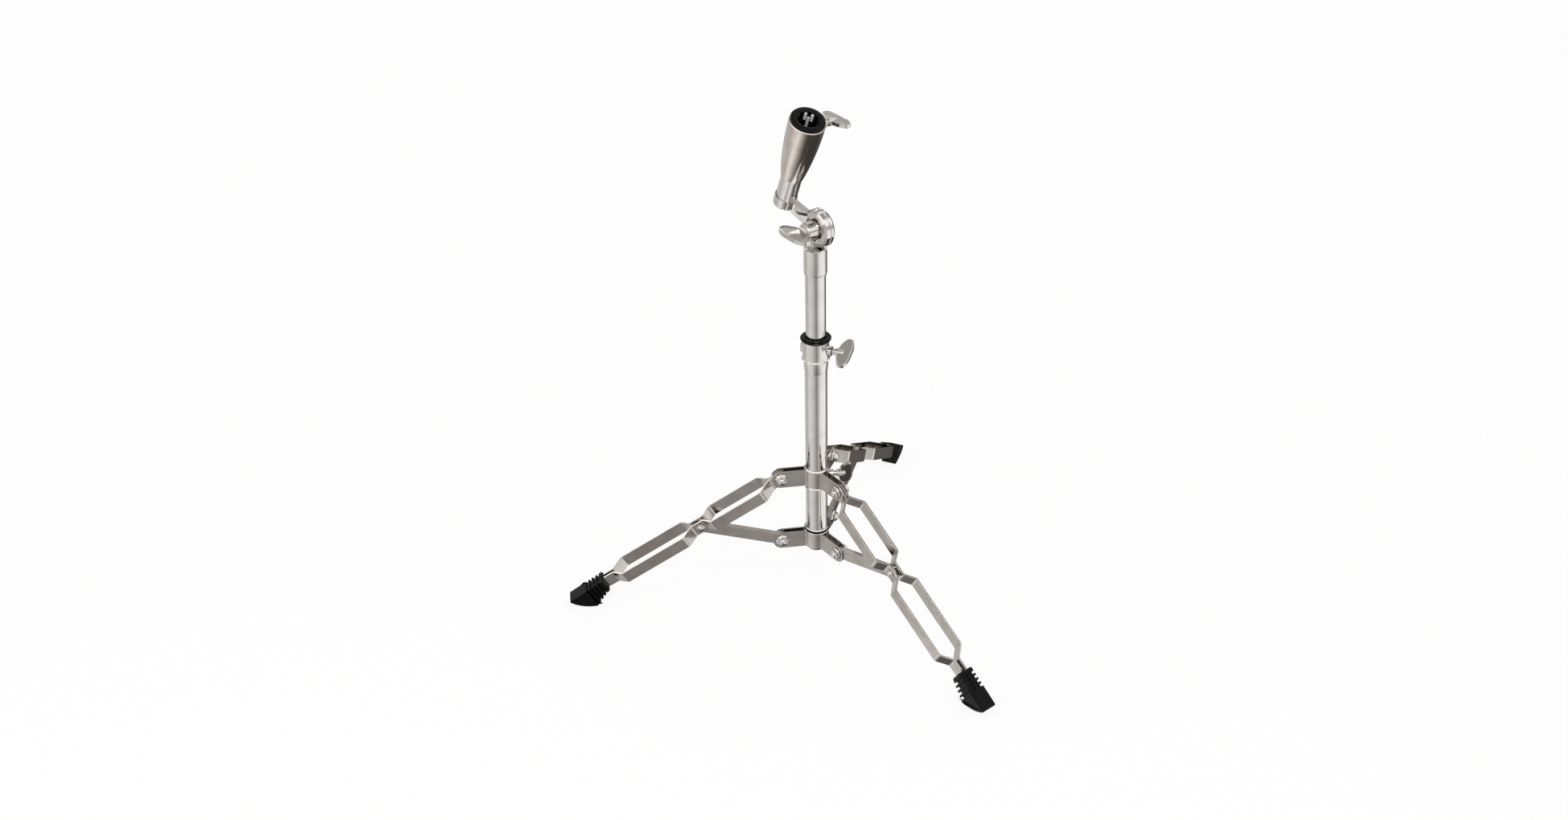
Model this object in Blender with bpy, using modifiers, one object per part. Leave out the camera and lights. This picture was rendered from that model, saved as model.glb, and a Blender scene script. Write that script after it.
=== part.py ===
# Drum pad stand: a folding tripod with flat strip legs, a telescopic column,
# a toothed tilter and a flared socket for a pad's post.
# Lengths are in metres, angles in degrees, +Z is up and the floor is at z = 0.

from math import asin, atan2, cos, degrees, radians, sin, sqrt, tan

import bmesh
import bpy
from mathutils import Matrix, Vector

GAP = 0.0003  # clearance between pieces that touch

# Column tubes
LOWER_TUBE_DIAMETER = 0.0286
UPPER_TUBE_DIAMETER = 0.0254
TUBE_WALL = 0.0012
LOWER_TUBE_LENGTH = 0.3200
UPPER_TUBE_LENGTH = 0.3400
UPPER_TUBE_SHOWING = 0.0865  # between the height bush and the tilter sleeve
BELL_DIAMETER = 0.0319
BELL_LENGTH = 0.0160
BELL_TAPER = 0.0050
NECK_DIAMETER = 0.0304  # the slotted top of the lower tube, inside the clamp collar
TUBE_OVERHANG = 0.0008  # tube end below the lower collar

# Clamp collar and height bush
CLAMP_HEIGHT = 0.0280
CLAMP_WALL = 0.0013
CLAMP_LIP_HEIGHT = 0.0022
CLAMP_LIP_DEPTH = 0.0006
CLAMP_BOSS_DIAMETER = 0.0124
CLAMP_BOSS_REACH = 0.0045
CLAMP_LUG_HEIGHT = 0.0110
CLAMP_LUG_WIDTH = 0.0090
CLAMP_LUG_REACH = 0.0024
BUSH_SLEEVE_LENGTH = 0.0240
BUSH_FLANGE_DIAMETER = 0.0393
BUSH_FLANGE_HEIGHT = 0.0048
BUSH_RUNNING_GAP = 0.0003
HEIGHT_BOLT_TURN = -27.5  # where the height wing bolt points

# Tripod
LEG_TURNS = {"left": 180.0, "front": 300.0, "back": 60.0}
LEG_SLOPE = 30.69  # below the horizontal when spread
PIVOT_RADIUS = 0.0475
MID_DISTANCE = 0.1275  # upper pivot to mid pivot, along the leg
BRACE_LENGTH = 0.1150  # between its pivots
STRIP_HEIGHT = 0.0170
STRIP_THICKNESS = 0.0026
STRIP_BEND_RADIUS = 0.0050
STRIP_TOP_OFFSET = 0.0019  # strip centre from the leg's middle plane at the top
STRIP_WAIST_OFFSET = 0.0049  # the same at the mid pivot
STRIP_FOOT_OFFSET = 0.0035  # the same in the foot
STRIP_BOW = 0.0177  # the same where the strips stand apart
UPPER_BOW = (0.0145, 0.0300, 0.1070, 0.1180)  # where the strips turn, along the leg
LOWER_BOW = (0.1380, 0.1510, 0.2490, 0.2630)
STRIP_LENGTH = 0.3220  # upper pivot to the end inside the foot
STRIP_SHOULDER = 0.0015
TONGUE_HEIGHT = 0.0110

# Brace channel
BRACE_HEIGHT = 0.0160
BRACE_WIDTH = 0.0066
BRACE_WALL = 0.0013

# Collars
COLLAR_HEIGHT = 0.0250
COLLAR_THICKNESS = 0.0018
COLLAR_BEND_RADIUS = 0.0025
EAR_HALF_GAP = 0.0035
COLLAR_RING_HEIGHT = 0.0026
COLLAR_RING_WALL = 0.0022

# Rivets
RIVET_DIAMETER = 0.0060
RIVET_HEAD_DIAMETER = 0.0140
RIVET_HEAD_HEIGHT = 0.0060
MID_RIVET_HEAD_DIAMETER = 0.0108
MID_RIVET_HEAD_HEIGHT = 0.0034

# Feet
FOOT_NOSE = 0.3356  # upper pivot to the nose, along the leg
FOOT_LENGTH = 0.0557
FOOT_WIDTH = 0.0224
FOOT_TOP_AT_CAP = 0.0088
FOOT_TOP_AT_NOSE = 0.0062
FOOT_CAP_DEPTH = 0.0185
FOOT_HEEL_DEPTH = 0.0288
FOOT_HEEL = 0.0285  # nose to the back of the tread
FOOT_SOLE_RADIUS = 0.0515
FOOT_SOLE_FRONT = 34.0  # the tread's arc, either side of straight down
FOOT_SOLE_BACK = -8.0
FOOT_EDGE = 0.0012
FOOT_FIN_PITCH = 0.0060
FOOT_FIN_THICKNESS = 0.0026
FOOT_FIN_DEPTH = 0.0034
FOOT_FIN_TOP_DEPTH = 0.0014
FOOT_FIN_COUNT = 3
FOOT_FLAT = 0.0080  # flat under the sole

# Wing bolts
SCREW_DIAMETER = 0.0058
SCREW_CLEARANCE = 0.0004
WING_NECK_DIAMETER = 0.0072
WING_NECK_LENGTH = 0.0040
WING_THICKNESS = 0.0034
SMALL_WING_SPAN = 0.0480
SMALL_WING_DEPTH = 0.0210
SMALL_HUB_DIAMETER = 0.0100
SMALL_HUB_LENGTH = 0.0120
LARGE_WING_SPAN = 0.0570
LARGE_WING_DEPTH = 0.0280
LARGE_HUB_DIAMETER = 0.0260
LARGE_HUB_LENGTH = 0.0190
SPREAD_BOSS_REACH = 0.0060
SPREAD_BOSS_DIAMETER = 0.0120

# Tilter
HINGE_TURN = -62.5  # heading of the tilt, about the column
SOCKET_TILT = 22.4
SLEEVE_WALL = 0.0013
SLEEVE_LENGTH = 0.0360
SLEEVE_STEP = 0.0022
SLEEVE_CAP = 0.0030
HINGE_RISE = 0.0240  # hinge axis above the sleeve
DISC_DIAMETER = 0.0470
BASE_DISC_THICKNESS = 0.0070
ARM_DISC_THICKNESS = 0.0086
DISC_FACE_OFFSET = 0.0070  # toothed faces beside the column axis
NECK_WIDTH = 0.0150
RECESS_DIAMETER = 0.0310
RECESS_DEPTH = 0.0036
TILT_SCREW_DIAMETER = 0.0080
TILT_NUT_ACROSS_CORNERS = 0.0150
TILT_NUT_HEIGHT = 0.0065
ARM_REACH = 0.0480  # hinge axis to pipe axis
ARM_RISE = 0.0124
ARM_OFFSET = 0.0147  # pipe axis beside the column axis
ARM_HEIGHT_AT_DISC = 0.0180
ARM_THICKNESS = 0.0110
RING_BELOW = 0.0070
RING_ABOVE = 0.0060
RING_WALL = 0.0009
RING_FLOOR = 0.0030

# Socket
PIPE_DIAMETER = 0.0254
PIPE_SHOWING = 0.0323  # above the ring
CONE_LENGTH = 0.0841
CONE_TOP_DIAMETER = 0.0435
CONE_WALL = 0.0010
CONE_OVERLAP = 0.0100  # cone's collar over the pipe
CONE_FLARE = 2.1
INSERT_FLANGE_DIAMETER = 0.0424
INSERT_FLANGE_HEIGHT = 0.0032
INSERT_LENGTH = 0.0540
INSERT_WALL = 0.0040
SOCKET_BORE_DIAMETER = 0.0260
KEY_WIDTH = 0.0074
KEY_TURN = -25.0  # from the arm's side of the pipe
KEY_DEPTH = 0.0030
KEY_HEIGHT_ON_CONE = 0.0016
KEY_LENGTH_ON_CONE = 0.0400
SOCKET_BOLT_DROP = 0.0115  # below the cone's rim
SOCKET_BOSS_DIAMETER = 0.0120
SOCKET_BOSS_REACH = 0.0045

# Facets
TUBE_STEPS = 36
SMALL_STEPS = 20
RIVET_STEPS = 14
ARC_STEP = 15.0

# Finishes: base colour, metallic, roughness
FINISHES = {
    "chrome": ((0.55, 0.54, 0.53), 1.0, 0.12),
    "black_rubber": ((0.012, 0.012, 0.012), 0.0, 0.65),
    "black_nylon": ((0.010, 0.010, 0.011), 0.0, 0.35),
    "cast_chrome": ((0.58, 0.57, 0.55), 1.0, 0.22),
}

# Worked out from the sizes above
LOWER_TUBE_RADIUS = LOWER_TUBE_DIAMETER / 2
UPPER_TUBE_RADIUS = UPPER_TUBE_DIAMETER / 2
BELL_RADIUS = BELL_DIAMETER / 2
NECK_RADIUS = NECK_DIAMETER / 2
CLAMP_RADIUS = NECK_RADIUS + GAP + CLAMP_WALL
COLLAR_MID_RADIUS = LOWER_TUBE_RADIUS + GAP + COLLAR_THICKNESS / 2
EAR_OFFSET = EAR_HALF_GAP + COLLAR_THICKNESS / 2
EAR_END = PIVOT_RADIUS + COLLAR_HEIGHT / 2
SLEEVE_RADIUS = UPPER_TUBE_RADIUS + GAP + SLEEVE_WALL
RING_RADIUS = PIPE_DIAMETER / 2 + GAP + RING_WALL
CONE_START = RING_ABOVE + PIPE_SHOWING
CONE_END = CONE_START + CONE_LENGTH
CONE_BOTTOM_RADIUS = PIPE_DIAMETER / 2 + GAP + CONE_WALL
CONE_TOP_RADIUS = CONE_TOP_DIAMETER / 2
SMALL_HOLE_RADIUS = SCREW_DIAMETER / 2 + SCREW_CLEARANCE
RIVET_HOLE_RADIUS = RIVET_DIAMETER / 2 + GAP


def foot_outline():
    """Side view of a foot in leg coordinates: along the leg, and up from its middle line."""
    down = Vector((sin(radians(LEG_SLOPE)), -cos(radians(LEG_SLOPE))))
    outward = Vector((cos(radians(LEG_SLOPE)), sin(radians(LEG_SLOPE))))
    nose = Vector((FOOT_NOSE, FOOT_TOP_AT_NOSE))
    front = radians(FOOT_SOLE_FRONT)
    chin = nose - Vector((0.0008, 0.0036))
    centre = chin - FOOT_SOLE_RADIUS * (cos(front) * down + sin(front) * outward)
    flat = degrees(asin(FOOT_FLAT / 2 / FOOT_SOLE_RADIUS))
    turns = [FOOT_SOLE_FRONT * k / 5 for k in (5, 4, 3, 2, 1) if FOOT_SOLE_FRONT * k / 5 > flat]
    turns += [flat, -flat]
    if FOOT_SOLE_BACK < -flat:
        turns.append(FOOT_SOLE_BACK)
    sole = [
        centre + FOOT_SOLE_RADIUS * (cos(radians(t)) * down + sin(radians(t)) * outward)
        for t in turns
    ]
    cap = FOOT_NOSE - FOOT_LENGTH
    return [
        (cap, FOOT_TOP_AT_CAP),
        (cap, FOOT_TOP_AT_CAP - FOOT_CAP_DEPTH),
        (FOOT_NOSE - FOOT_HEEL, foot_top(FOOT_NOSE - FOOT_HEEL) - FOOT_HEEL_DEPTH),
        *[(p.x, p.y) for p in reversed(sole)],
        (nose.x, nose.y),
    ]


def foot_top(along):
    """Height of the foot's top face over the leg's middle line."""
    share = (FOOT_NOSE - along) / FOOT_LENGTH
    return FOOT_TOP_AT_NOSE + share * (FOOT_TOP_AT_CAP - FOOT_TOP_AT_NOSE)


def foot_belly(along):
    """Height of the foot's underside between the cap and the heel."""
    heel = foot_top(FOOT_NOSE - FOOT_HEEL) - FOOT_HEEL_DEPTH
    cap = FOOT_TOP_AT_CAP - FOOT_CAP_DEPTH
    share = (FOOT_NOSE - FOOT_HEEL - along) / (FOOT_LENGTH - FOOT_HEEL)
    return heel + share * (cap - heel)


def drop(along, up):
    """How far a point of the leg lies below the upper pivot when spread."""
    return along * sin(radians(LEG_SLOPE)) - up * cos(radians(LEG_SLOPE))


# Heights above the floor
UPPER_PIVOT_HEIGHT = max(drop(*point) for point in foot_outline())
MID_RADIUS = PIVOT_RADIUS + MID_DISTANCE * cos(radians(LEG_SLOPE))
MID_HEIGHT = UPPER_PIVOT_HEIGHT - MID_DISTANCE * sin(radians(LEG_SLOPE))
BRACE_SLOPE = degrees(asin(sqrt(1 - ((MID_RADIUS - PIVOT_RADIUS) / BRACE_LENGTH) ** 2)))
LOWER_PIVOT_HEIGHT = MID_HEIGHT - BRACE_LENGTH * sin(radians(BRACE_SLOPE))
TUBE_BOTTOM = LOWER_PIVOT_HEIGHT - COLLAR_HEIGHT / 2 - TUBE_OVERHANG
TUBE_TOP = TUBE_BOTTOM + LOWER_TUBE_LENGTH
CLAMP_BOTTOM = TUBE_TOP - CLAMP_HEIGHT + GAP
CLAMP_TOP = CLAMP_BOTTOM + CLAMP_HEIGHT
BUSH_TOP = CLAMP_TOP + GAP + BUSH_FLANGE_HEIGHT
SLEEVE_BOTTOM = BUSH_TOP + UPPER_TUBE_SHOWING
SLEEVE_TOP = SLEEVE_BOTTOM + SLEEVE_LENGTH
UPPER_TUBE_TOP = SLEEVE_TOP - SLEEVE_CAP - GAP
UPPER_TUBE_BOTTOM = UPPER_TUBE_TOP - UPPER_TUBE_LENGTH
HINGE_HEIGHT = SLEEVE_TOP + HINGE_RISE


def footprint_centre():
    """Middle of the spread tripod's box, measured from the column axis."""
    reach = PIVOT_RADIUS + max(
        along * cos(radians(LEG_SLOPE)) + up * sin(radians(LEG_SLOPE)) for along, up in foot_outline()
    )
    half = FOOT_WIDTH / 2
    corners = []
    for turn in LEG_TURNS.values():
        for side in (-half, half):
            a = radians(turn)
            corners.append((reach * cos(a) - side * sin(a), reach * sin(a) + side * cos(a)))
    xs = [c[0] for c in corners]
    ys = [c[1] for c in corners]
    return (min(xs) + max(xs)) / 2, (min(ys) + max(ys)) / 2


def clear_scene():
    for thing in list(bpy.data.objects):
        bpy.data.objects.remove(thing, do_unlink=True)


clear_scene()
PARTS = bpy.data.collections.new("drum_pad_stand")
CUTTERS = bpy.data.collections.new("cutters")
bpy.context.scene.collection.children.link(PARTS)
bpy.context.scene.collection.children.link(CUTTERS)


def new_material(name):
    colour, metallic, roughness = FINISHES[name]
    material = bpy.data.materials.new(name)
    material.use_nodes = True
    shader = material.node_tree.nodes["Principled BSDF"]
    shader.inputs["Base Color"].default_value = (*colour, 1.0)
    shader.inputs["Metallic"].default_value = metallic
    shader.inputs["Roughness"].default_value = roughness
    return material


def frame(name, parent=None, at=(0, 0, 0), turn=None):
    """An empty that carries pieces; it sits on a joint's axis where there is one."""
    empty = bpy.data.objects.new(name, None)
    empty.empty_display_size = 0.02
    PARTS.objects.link(empty)
    empty.parent = parent
    empty.matrix_local = Matrix.Translation(at) @ (turn or Matrix())
    return empty


def place(shape, name, parent, finish):
    """Make a finished shape one of the stand's pieces."""
    shape.name = name
    shape.data.name = name
    for owner in list(shape.users_collection):
        owner.objects.unlink(shape)
    PARTS.objects.link(shape)
    shape.parent = parent
    shape.data.materials.clear()
    shape.data.materials.append(new_material(finish))
    return shape


def tool(shape, name, parent):
    """Make a shape a cutter or a filler that a Boolean reads."""
    shape.name = name
    for owner in list(shape.users_collection):
        owner.objects.unlink(shape)
    CUTTERS.objects.link(shape)
    shape.parent = parent
    shape.hide_render = True
    shape.display_type = "WIRE"
    return shape


def combine(target, other, operation):
    step = target.modifiers.new(operation.lower(), "BOOLEAN")
    step.operation = operation
    step.object = other
    step.solver = "EXACT"


def cut(target, cutter):
    combine(target, cutter, "DIFFERENCE")


def join(target, other):
    combine(target, other, "UNION")


def mesh_object(name, mesh):
    thing = bpy.data.objects.new(name, mesh)
    bpy.context.scene.collection.objects.link(thing)
    return thing


def turned(profile, steps, turn=None, closed=False):
    """Spin (radius, height) points round Z; the outer side runs from top to bottom."""
    mesh = bpy.data.meshes.new("turned")
    count = len(profile)
    edges = [(k, k + 1) for k in range(count - 1)]
    if closed:
        edges.append((count - 1, 0))
    mesh.from_pydata([(r, 0.0, z) for r, z in profile], edges, [])
    thing = mesh_object("turned", mesh)
    screw = thing.modifiers.new("turn", "SCREW")
    screw.axis = "Z"
    screw.angle = radians(360)
    screw.steps = steps
    screw.render_steps = steps
    screw.use_merge_vertices = True
    screw.merge_threshold = 0.00001
    screw.use_smooth_shade = False
    return baked(thing, turn)


def baked(thing, turn=None):
    """Replace an object with its evaluated mesh, turned if asked."""
    bpy.context.view_layer.update()
    graph = bpy.context.evaluated_depsgraph_get()
    mesh = bpy.data.meshes.new_from_object(thing.evaluated_get(graph))
    shape = bmesh.new()
    shape.from_mesh(mesh)
    bmesh.ops.remove_doubles(shape, verts=shape.verts, dist=0.000001)
    shape.to_mesh(mesh)
    shape.free()
    if turn:
        mesh.transform(turn)
    bpy.data.objects.remove(thing, do_unlink=True)
    return mesh_object("baked", mesh)


def plate(loops, thickness, turn=None):
    """Fill flat outlines (the first is the rim, the rest are holes) to a thickness."""
    curve = bpy.data.curves.new("outline", "CURVE")
    curve.dimensions = "2D"
    curve.fill_mode = "BOTH"
    curve.extrude = thickness / 2
    for loop in loops:
        spline = curve.splines.new("POLY")
        spline.points.add(len(loop) - 1)
        for point, (x, y) in zip(spline.points, loop):
            point.co = (x, y, 0.0, 1.0)
        spline.use_cyclic_u = True
    return baked(mesh_object("outline", curve), turn)


def block(low, high, turn=None):
    """A box between two corners."""
    size = [b - a for a, b in zip(low, high)]
    middle = [(a + b) / 2 for a, b in zip(low, high)]
    shape = bmesh.new()
    bmesh.ops.create_cube(shape, size=1.0)
    bmesh.ops.scale(shape, vec=size, verts=shape.verts)
    bmesh.ops.translate(shape, vec=middle, verts=shape.verts)
    mesh = bpy.data.meshes.new("block")
    shape.to_mesh(mesh)
    shape.free()
    if turn:
        mesh.transform(turn)
    return mesh_object("block", mesh)


def beam_between(start, end, first, last):
    """A bar between two points; each end has a width along Y and a height along Z."""
    shape = bmesh.new()
    rings = []
    for point, (width, height) in ((start, first), (end, last)):
        corners = [(-1, -1), (1, -1), (1, 1), (-1, 1)]
        rings.append([
            shape.verts.new(point + Vector((0, y * width / 2, z * height / 2))) for y, z in corners
        ])
    shape.faces.new(rings[0][::-1])
    shape.faces.new(rings[1])
    for k in range(4):
        following = (k + 1) % 4
        shape.faces.new((rings[0][k], rings[0][following], rings[1][following], rings[1][k]))
    bmesh.ops.recalc_face_normals(shape, faces=shape.faces)
    mesh = bpy.data.meshes.new("beam")
    shape.to_mesh(mesh)
    shape.free()
    return mesh_object("beam", mesh)


def rod(radius, bottom, top, steps, turn=None):
    """A round bar along Z."""
    return turned([(0.0, top), (radius, top), (radius, bottom), (0.0, bottom)], steps, turn)


def sleeve(outer, inner, bottom, top, turn=None):
    """A short round tube along Z."""
    profile = [(outer, top), (outer, bottom), (inner, bottom), (inner, top)]
    return turned(profile, SMALL_STEPS, turn, closed=True)


def arc(x, y, radius, start, end, step=ARC_STEP):
    """Points on an arc, both ends included."""
    count = max(1, round(abs(end - start) / step))
    angles = [radians(start + (end - start) * k / count) for k in range(count + 1)]
    return [(x + radius * cos(a), y + radius * sin(a)) for a in angles]


def circle(x, y, radius, count=12):
    return [
        (x + radius * cos(radians(360 * k / count)), y + radius * sin(radians(360 * k / count)))
        for k in range(count)
    ]


def rounded_path(corners, radius):
    """A polyline with its inner corners turned into arcs."""
    path = [Vector(corners[0])]
    for before, corner, after in zip(corners, corners[1:], corners[2:]):
        corner = Vector(corner)
        back = (Vector(before) - corner).normalized()
        ahead = (Vector(after) - corner).normalized()
        half = back.angle(ahead) / 2
        if half > radians(89.9):
            path.append(corner)
            continue
        centre = corner + (back + ahead).normalized() * radius / sin(half)
        first = corner + back * radius / tan(half) - centre
        last = corner + ahead * radius / tan(half) - centre
        for share in (0.0, 0.5, 1.0):
            direction = first.lerp(last, share).normalized()
            path.append(centre + direction * radius)
    path.append(Vector(corners[-1]))
    return path


def stations(path):
    """Length along the path at each of its points."""
    lengths = [0.0]
    for a, b in zip(path, path[1:]):
        lengths.append(lengths[-1] + (b - a).length)
    return lengths


def length_at(path, x):
    """Length along the path where it reaches x."""
    for a, b, start in zip(path, path[1:], stations(path)):
        if a.x <= x <= b.x:
            return start + (b - a).length * (x - a.x) / (b.x - a.x)
    raise ValueError("the path does not reach x")


def between(pairs, x):
    """Second value of the pairs at x, on straight lines between them."""
    for (x0, y0), (x1, y1) in zip(pairs, pairs[1:]):
        if x <= x1:
            return y0 + (y1 - y0) * (x - x0) / (x1 - x0)
    return pairs[-1][1]


def folded_strip(path, edge, thickness):
    """Bend a flat strip along the path; edge gives its half height at each length."""
    lengths = stations(path)
    marks = []
    for mark in sorted(lengths + [x for x, _ in edge]):
        if not marks or mark - marks[-1] > 0.00002:
            marks.append(mark)
    shape = bmesh.new()
    rows = []
    for mark in marks:
        k = 0
        while k < len(lengths) - 2 and mark > lengths[k + 1]:
            k += 1
        share = (mark - lengths[k]) / (lengths[k + 1] - lengths[k])
        x, y = path[k] + (path[k + 1] - path[k]) * share
        half = between(edge, mark)
        heights = (half, -half) if half > 0.00001 else (0.0,)
        rows.append([shape.verts.new((x, y, z)) for z in heights])
    for row, following in zip(rows, rows[1:]):
        shape.faces.new(row + following[::-1])
    mesh = bpy.data.meshes.new("strip")
    shape.to_mesh(mesh)
    shape.free()
    thing = mesh_object("strip", mesh)
    wall = thing.modifiers.new("thickness", "SOLIDIFY")
    wall.thickness = thickness
    wall.offset = 0.0
    wall.use_even_offset = True
    return thing


def round_end(radius):
    """Half heights along a round end, from its tip."""
    return [
        (radius - radius * cos(radians(k * ARC_STEP)), radius * sin(radians(k * ARC_STEP)))
        for k in range(round(90 / ARC_STEP) + 1)
    ]


def rounded_bar(length, margin, step=ARC_STEP):
    """A bar outline with round ends beyond both ends of its length."""
    return arc(0.0, 0.0, margin, 90, 270, step) + arc(length, 0.0, margin, -90, 90, step)


ALONG_Y = Matrix.Rotation(radians(90), 4, "X")  # +Z turns to -Y
ALONG_BACK_Y = Matrix.Rotation(radians(-90), 4, "X")  # +Z turns to +Y
ALONG_X = Matrix.Rotation(radians(90), 4, "Y")  # +Z turns to +X
HALF_FACET = Matrix.Rotation(radians(180 / TUBE_STEPS), 4, "Z")


def about_z(turn):
    return Matrix.Rotation(radians(turn), 4, "Z")


def about_y(turn):
    return Matrix.Rotation(radians(turn), 4, "Y")


CENTRE_X, CENTRE_Y = footprint_centre()
STAND = frame("column_axis", at=(-CENTRE_X, -CENTRE_Y, 0))
UPPER_COLLAR = frame("upper_collar_slide", STAND, (0, 0, UPPER_PIVOT_HEIGHT))
LOWER_COLLAR = frame("lower_collar_centre", STAND, (0, 0, LOWER_PIVOT_HEIGHT))
SLIDE = frame("height_slide", STAND, (0, 0, UPPER_TUBE_BOTTOM))
COLUMN = frame("column_swivel", SLIDE)
HINGE = frame("tilter_hinge", COLUMN, (0, 0, HINGE_HEIGHT - UPPER_TUBE_BOTTOM), about_z(HINGE_TURN))
ARM = frame("tilter_arm_pivot", HINGE, turn=about_y(SOCKET_TILT))


def make_lower_tube():
    inner = LOWER_TUBE_RADIUS - TUBE_WALL
    bell_top = CLAMP_BOTTOM - GAP
    bell_bottom = bell_top - BELL_LENGTH
    profile = [
        (NECK_RADIUS, TUBE_TOP),
        (NECK_RADIUS, bell_top),
        (BELL_RADIUS, bell_top),
        (BELL_RADIUS, bell_bottom),
        (LOWER_TUBE_RADIUS, bell_bottom - BELL_TAPER),
        (LOWER_TUBE_RADIUS, TUBE_BOTTOM),
        (inner, TUBE_BOTTOM),
        (inner, bell_bottom - BELL_TAPER),
        (NECK_RADIUS - TUBE_WALL, bell_bottom),
        (NECK_RADIUS - TUBE_WALL, TUBE_TOP),
    ]
    place(turned(profile, TUBE_STEPS, closed=True), "lower_tube", STAND, "chrome")
    plug = inner - GAP
    cap = [
        (0.0, TUBE_BOTTOM + 0.0100),
        (plug, TUBE_BOTTOM + 0.0100),
        (plug, TUBE_BOTTOM - GAP),
        (LOWER_TUBE_RADIUS, TUBE_BOTTOM - GAP),
        (LOWER_TUBE_RADIUS - 0.0010, TUBE_BOTTOM - 0.0025),
        (0.0, TUBE_BOTTOM - 0.0025),
    ]
    place(turned(cap, SMALL_STEPS), "lower_tube_end_cap", STAND, "black_nylon")


def make_height_bush():
    inner = UPPER_TUBE_RADIUS + BUSH_RUNNING_GAP
    outer = NECK_RADIUS - TUBE_WALL - GAP
    flange = BUSH_FLANGE_DIAMETER / 2
    bottom = CLAMP_TOP + GAP
    profile = [
        (inner + 0.0012, BUSH_TOP),
        (flange - 0.0022, BUSH_TOP - 0.0004),
        (flange - 0.0004, BUSH_TOP - 0.0018),
        (flange, bottom + 0.0018),
        (flange - 0.0012, bottom),
        (outer, bottom),
        (outer, bottom - BUSH_SLEEVE_LENGTH),
        (inner, bottom - BUSH_SLEEVE_LENGTH),
        (inner, BUSH_TOP - 0.0012),
    ]
    place(turned(profile, TUBE_STEPS, closed=True), "height_bush", STAND, "black_nylon")


def make_clamp_collar():
    inner = NECK_RADIUS + GAP
    lip = CLAMP_RADIUS + CLAMP_LIP_DEPTH
    middle = (CLAMP_BOTTOM + CLAMP_TOP) / 2
    profile = [
        (CLAMP_RADIUS, CLAMP_TOP),
        (CLAMP_RADIUS, CLAMP_BOTTOM + CLAMP_LIP_HEIGHT + CLAMP_LIP_DEPTH),
        (lip, CLAMP_BOTTOM + CLAMP_LIP_HEIGHT),
        (lip, CLAMP_BOTTOM),
        (inner, CLAMP_BOTTOM),
        (inner, CLAMP_TOP),
    ]
    collar = turned(profile, TUBE_STEPS, closed=True)
    place(collar, "clamp_collar", STAND, "cast_chrome")
    aim = frame("clamp_aim", STAND, (0, 0, middle), about_z(HEIGHT_BOLT_TURN))
    root = CLAMP_RADIUS - CLAMP_WALL / 2
    tip = CLAMP_RADIUS + CLAMP_BOSS_REACH
    boss = rod(CLAMP_BOSS_DIAMETER / 2, root, tip, SMALL_STEPS, ALONG_X)
    join(collar, tool(boss, "clamp_boss", aim))
    lug = block(
        (-CLAMP_RADIUS - CLAMP_LUG_REACH, -CLAMP_LUG_WIDTH / 2, -CLAMP_LUG_HEIGHT / 2),
        (-sqrt(CLAMP_RADIUS**2 - (CLAMP_LUG_WIDTH / 2) ** 2) + CLAMP_WALL / 3,
         CLAMP_LUG_WIDTH / 2, CLAMP_LUG_HEIGHT / 2),
    )
    join(collar, tool(lug, "clamp_lug", aim))
    hole = rod(SMALL_HOLE_RADIUS, root - CLAMP_WALL, tip + CLAMP_WALL, SMALL_STEPS, ALONG_X)
    cut(collar, tool(hole, "clamp_hole", aim))
    seat = frame("height_bolt_seat", aim, (tip + GAP, 0, 0), ALONG_X)
    reach = tip - NECK_RADIUS
    wing_bolt("height_wing_bolt", seat, reach, SMALL_WING_SPAN, 105.0)


def wing_outline(span, depth, root, start):
    """Both wings seen flat: a crescent that opens towards the screw."""
    half = span / 2
    tip_low = start + depth * 0.42
    tip_high = start + depth * 0.80
    right = [
        (root * 0.6, start),
        (root, start + depth * 0.14),
        (root + (half - root) * 0.45, start + depth * 0.22),
        (half - depth * 0.10, tip_low),
        (half, tip_low + depth * 0.12),
        (half - depth * 0.04, tip_high),
        (half * 0.72, start + depth * 0.93),
        (half * 0.40, start + depth),
    ]
    left = [(-x, z) for x, z in reversed(right)]
    return right + left


def wing_bolt(name, seat, reach, span, roll, large=False):
    """A screw with a hub and two wings; its axis is the seat's +Z, and its wings lie in XZ."""
    screw = (TILT_SCREW_DIAMETER if large else SCREW_DIAMETER) / 2
    hub = (LARGE_HUB_DIAMETER if large else SMALL_HUB_DIAMETER) / 2
    length = LARGE_HUB_LENGTH if large else SMALL_HUB_LENGTH
    depth = LARGE_WING_DEPTH if large else SMALL_WING_DEPTH
    neck = hub if large else WING_NECK_DIAMETER / 2
    foot = 0.0 if large else WING_NECK_LENGTH
    start = length * 0.7 if large else foot
    spindle = frame(name + "_axis", seat, turn=about_z(roll))
    profile = [
        (0.0, foot + length),
        (hub * 0.72, foot + length),
        (hub * 0.86, foot + length * 0.8),
        (hub, foot + length * 0.1),
        (neck, foot),
        (neck, 0.0),
        (screw, 0.0),
        (screw, -reach + 0.0006),
        (screw - 0.0006, -reach),
        (0.0, -reach),
    ]
    if large:
        profile.remove((neck, foot))
    bolt = place(turned(profile, SMALL_STEPS), name, spindle, "cast_chrome")
    outline = wing_outline(span, depth, hub * (0.5 if large else 1.0), start)
    wings = plate([outline], WING_THICKNESS, ALONG_Y)
    join(bolt, tool(wings, name + "_wings", spindle))
    return bolt


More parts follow.
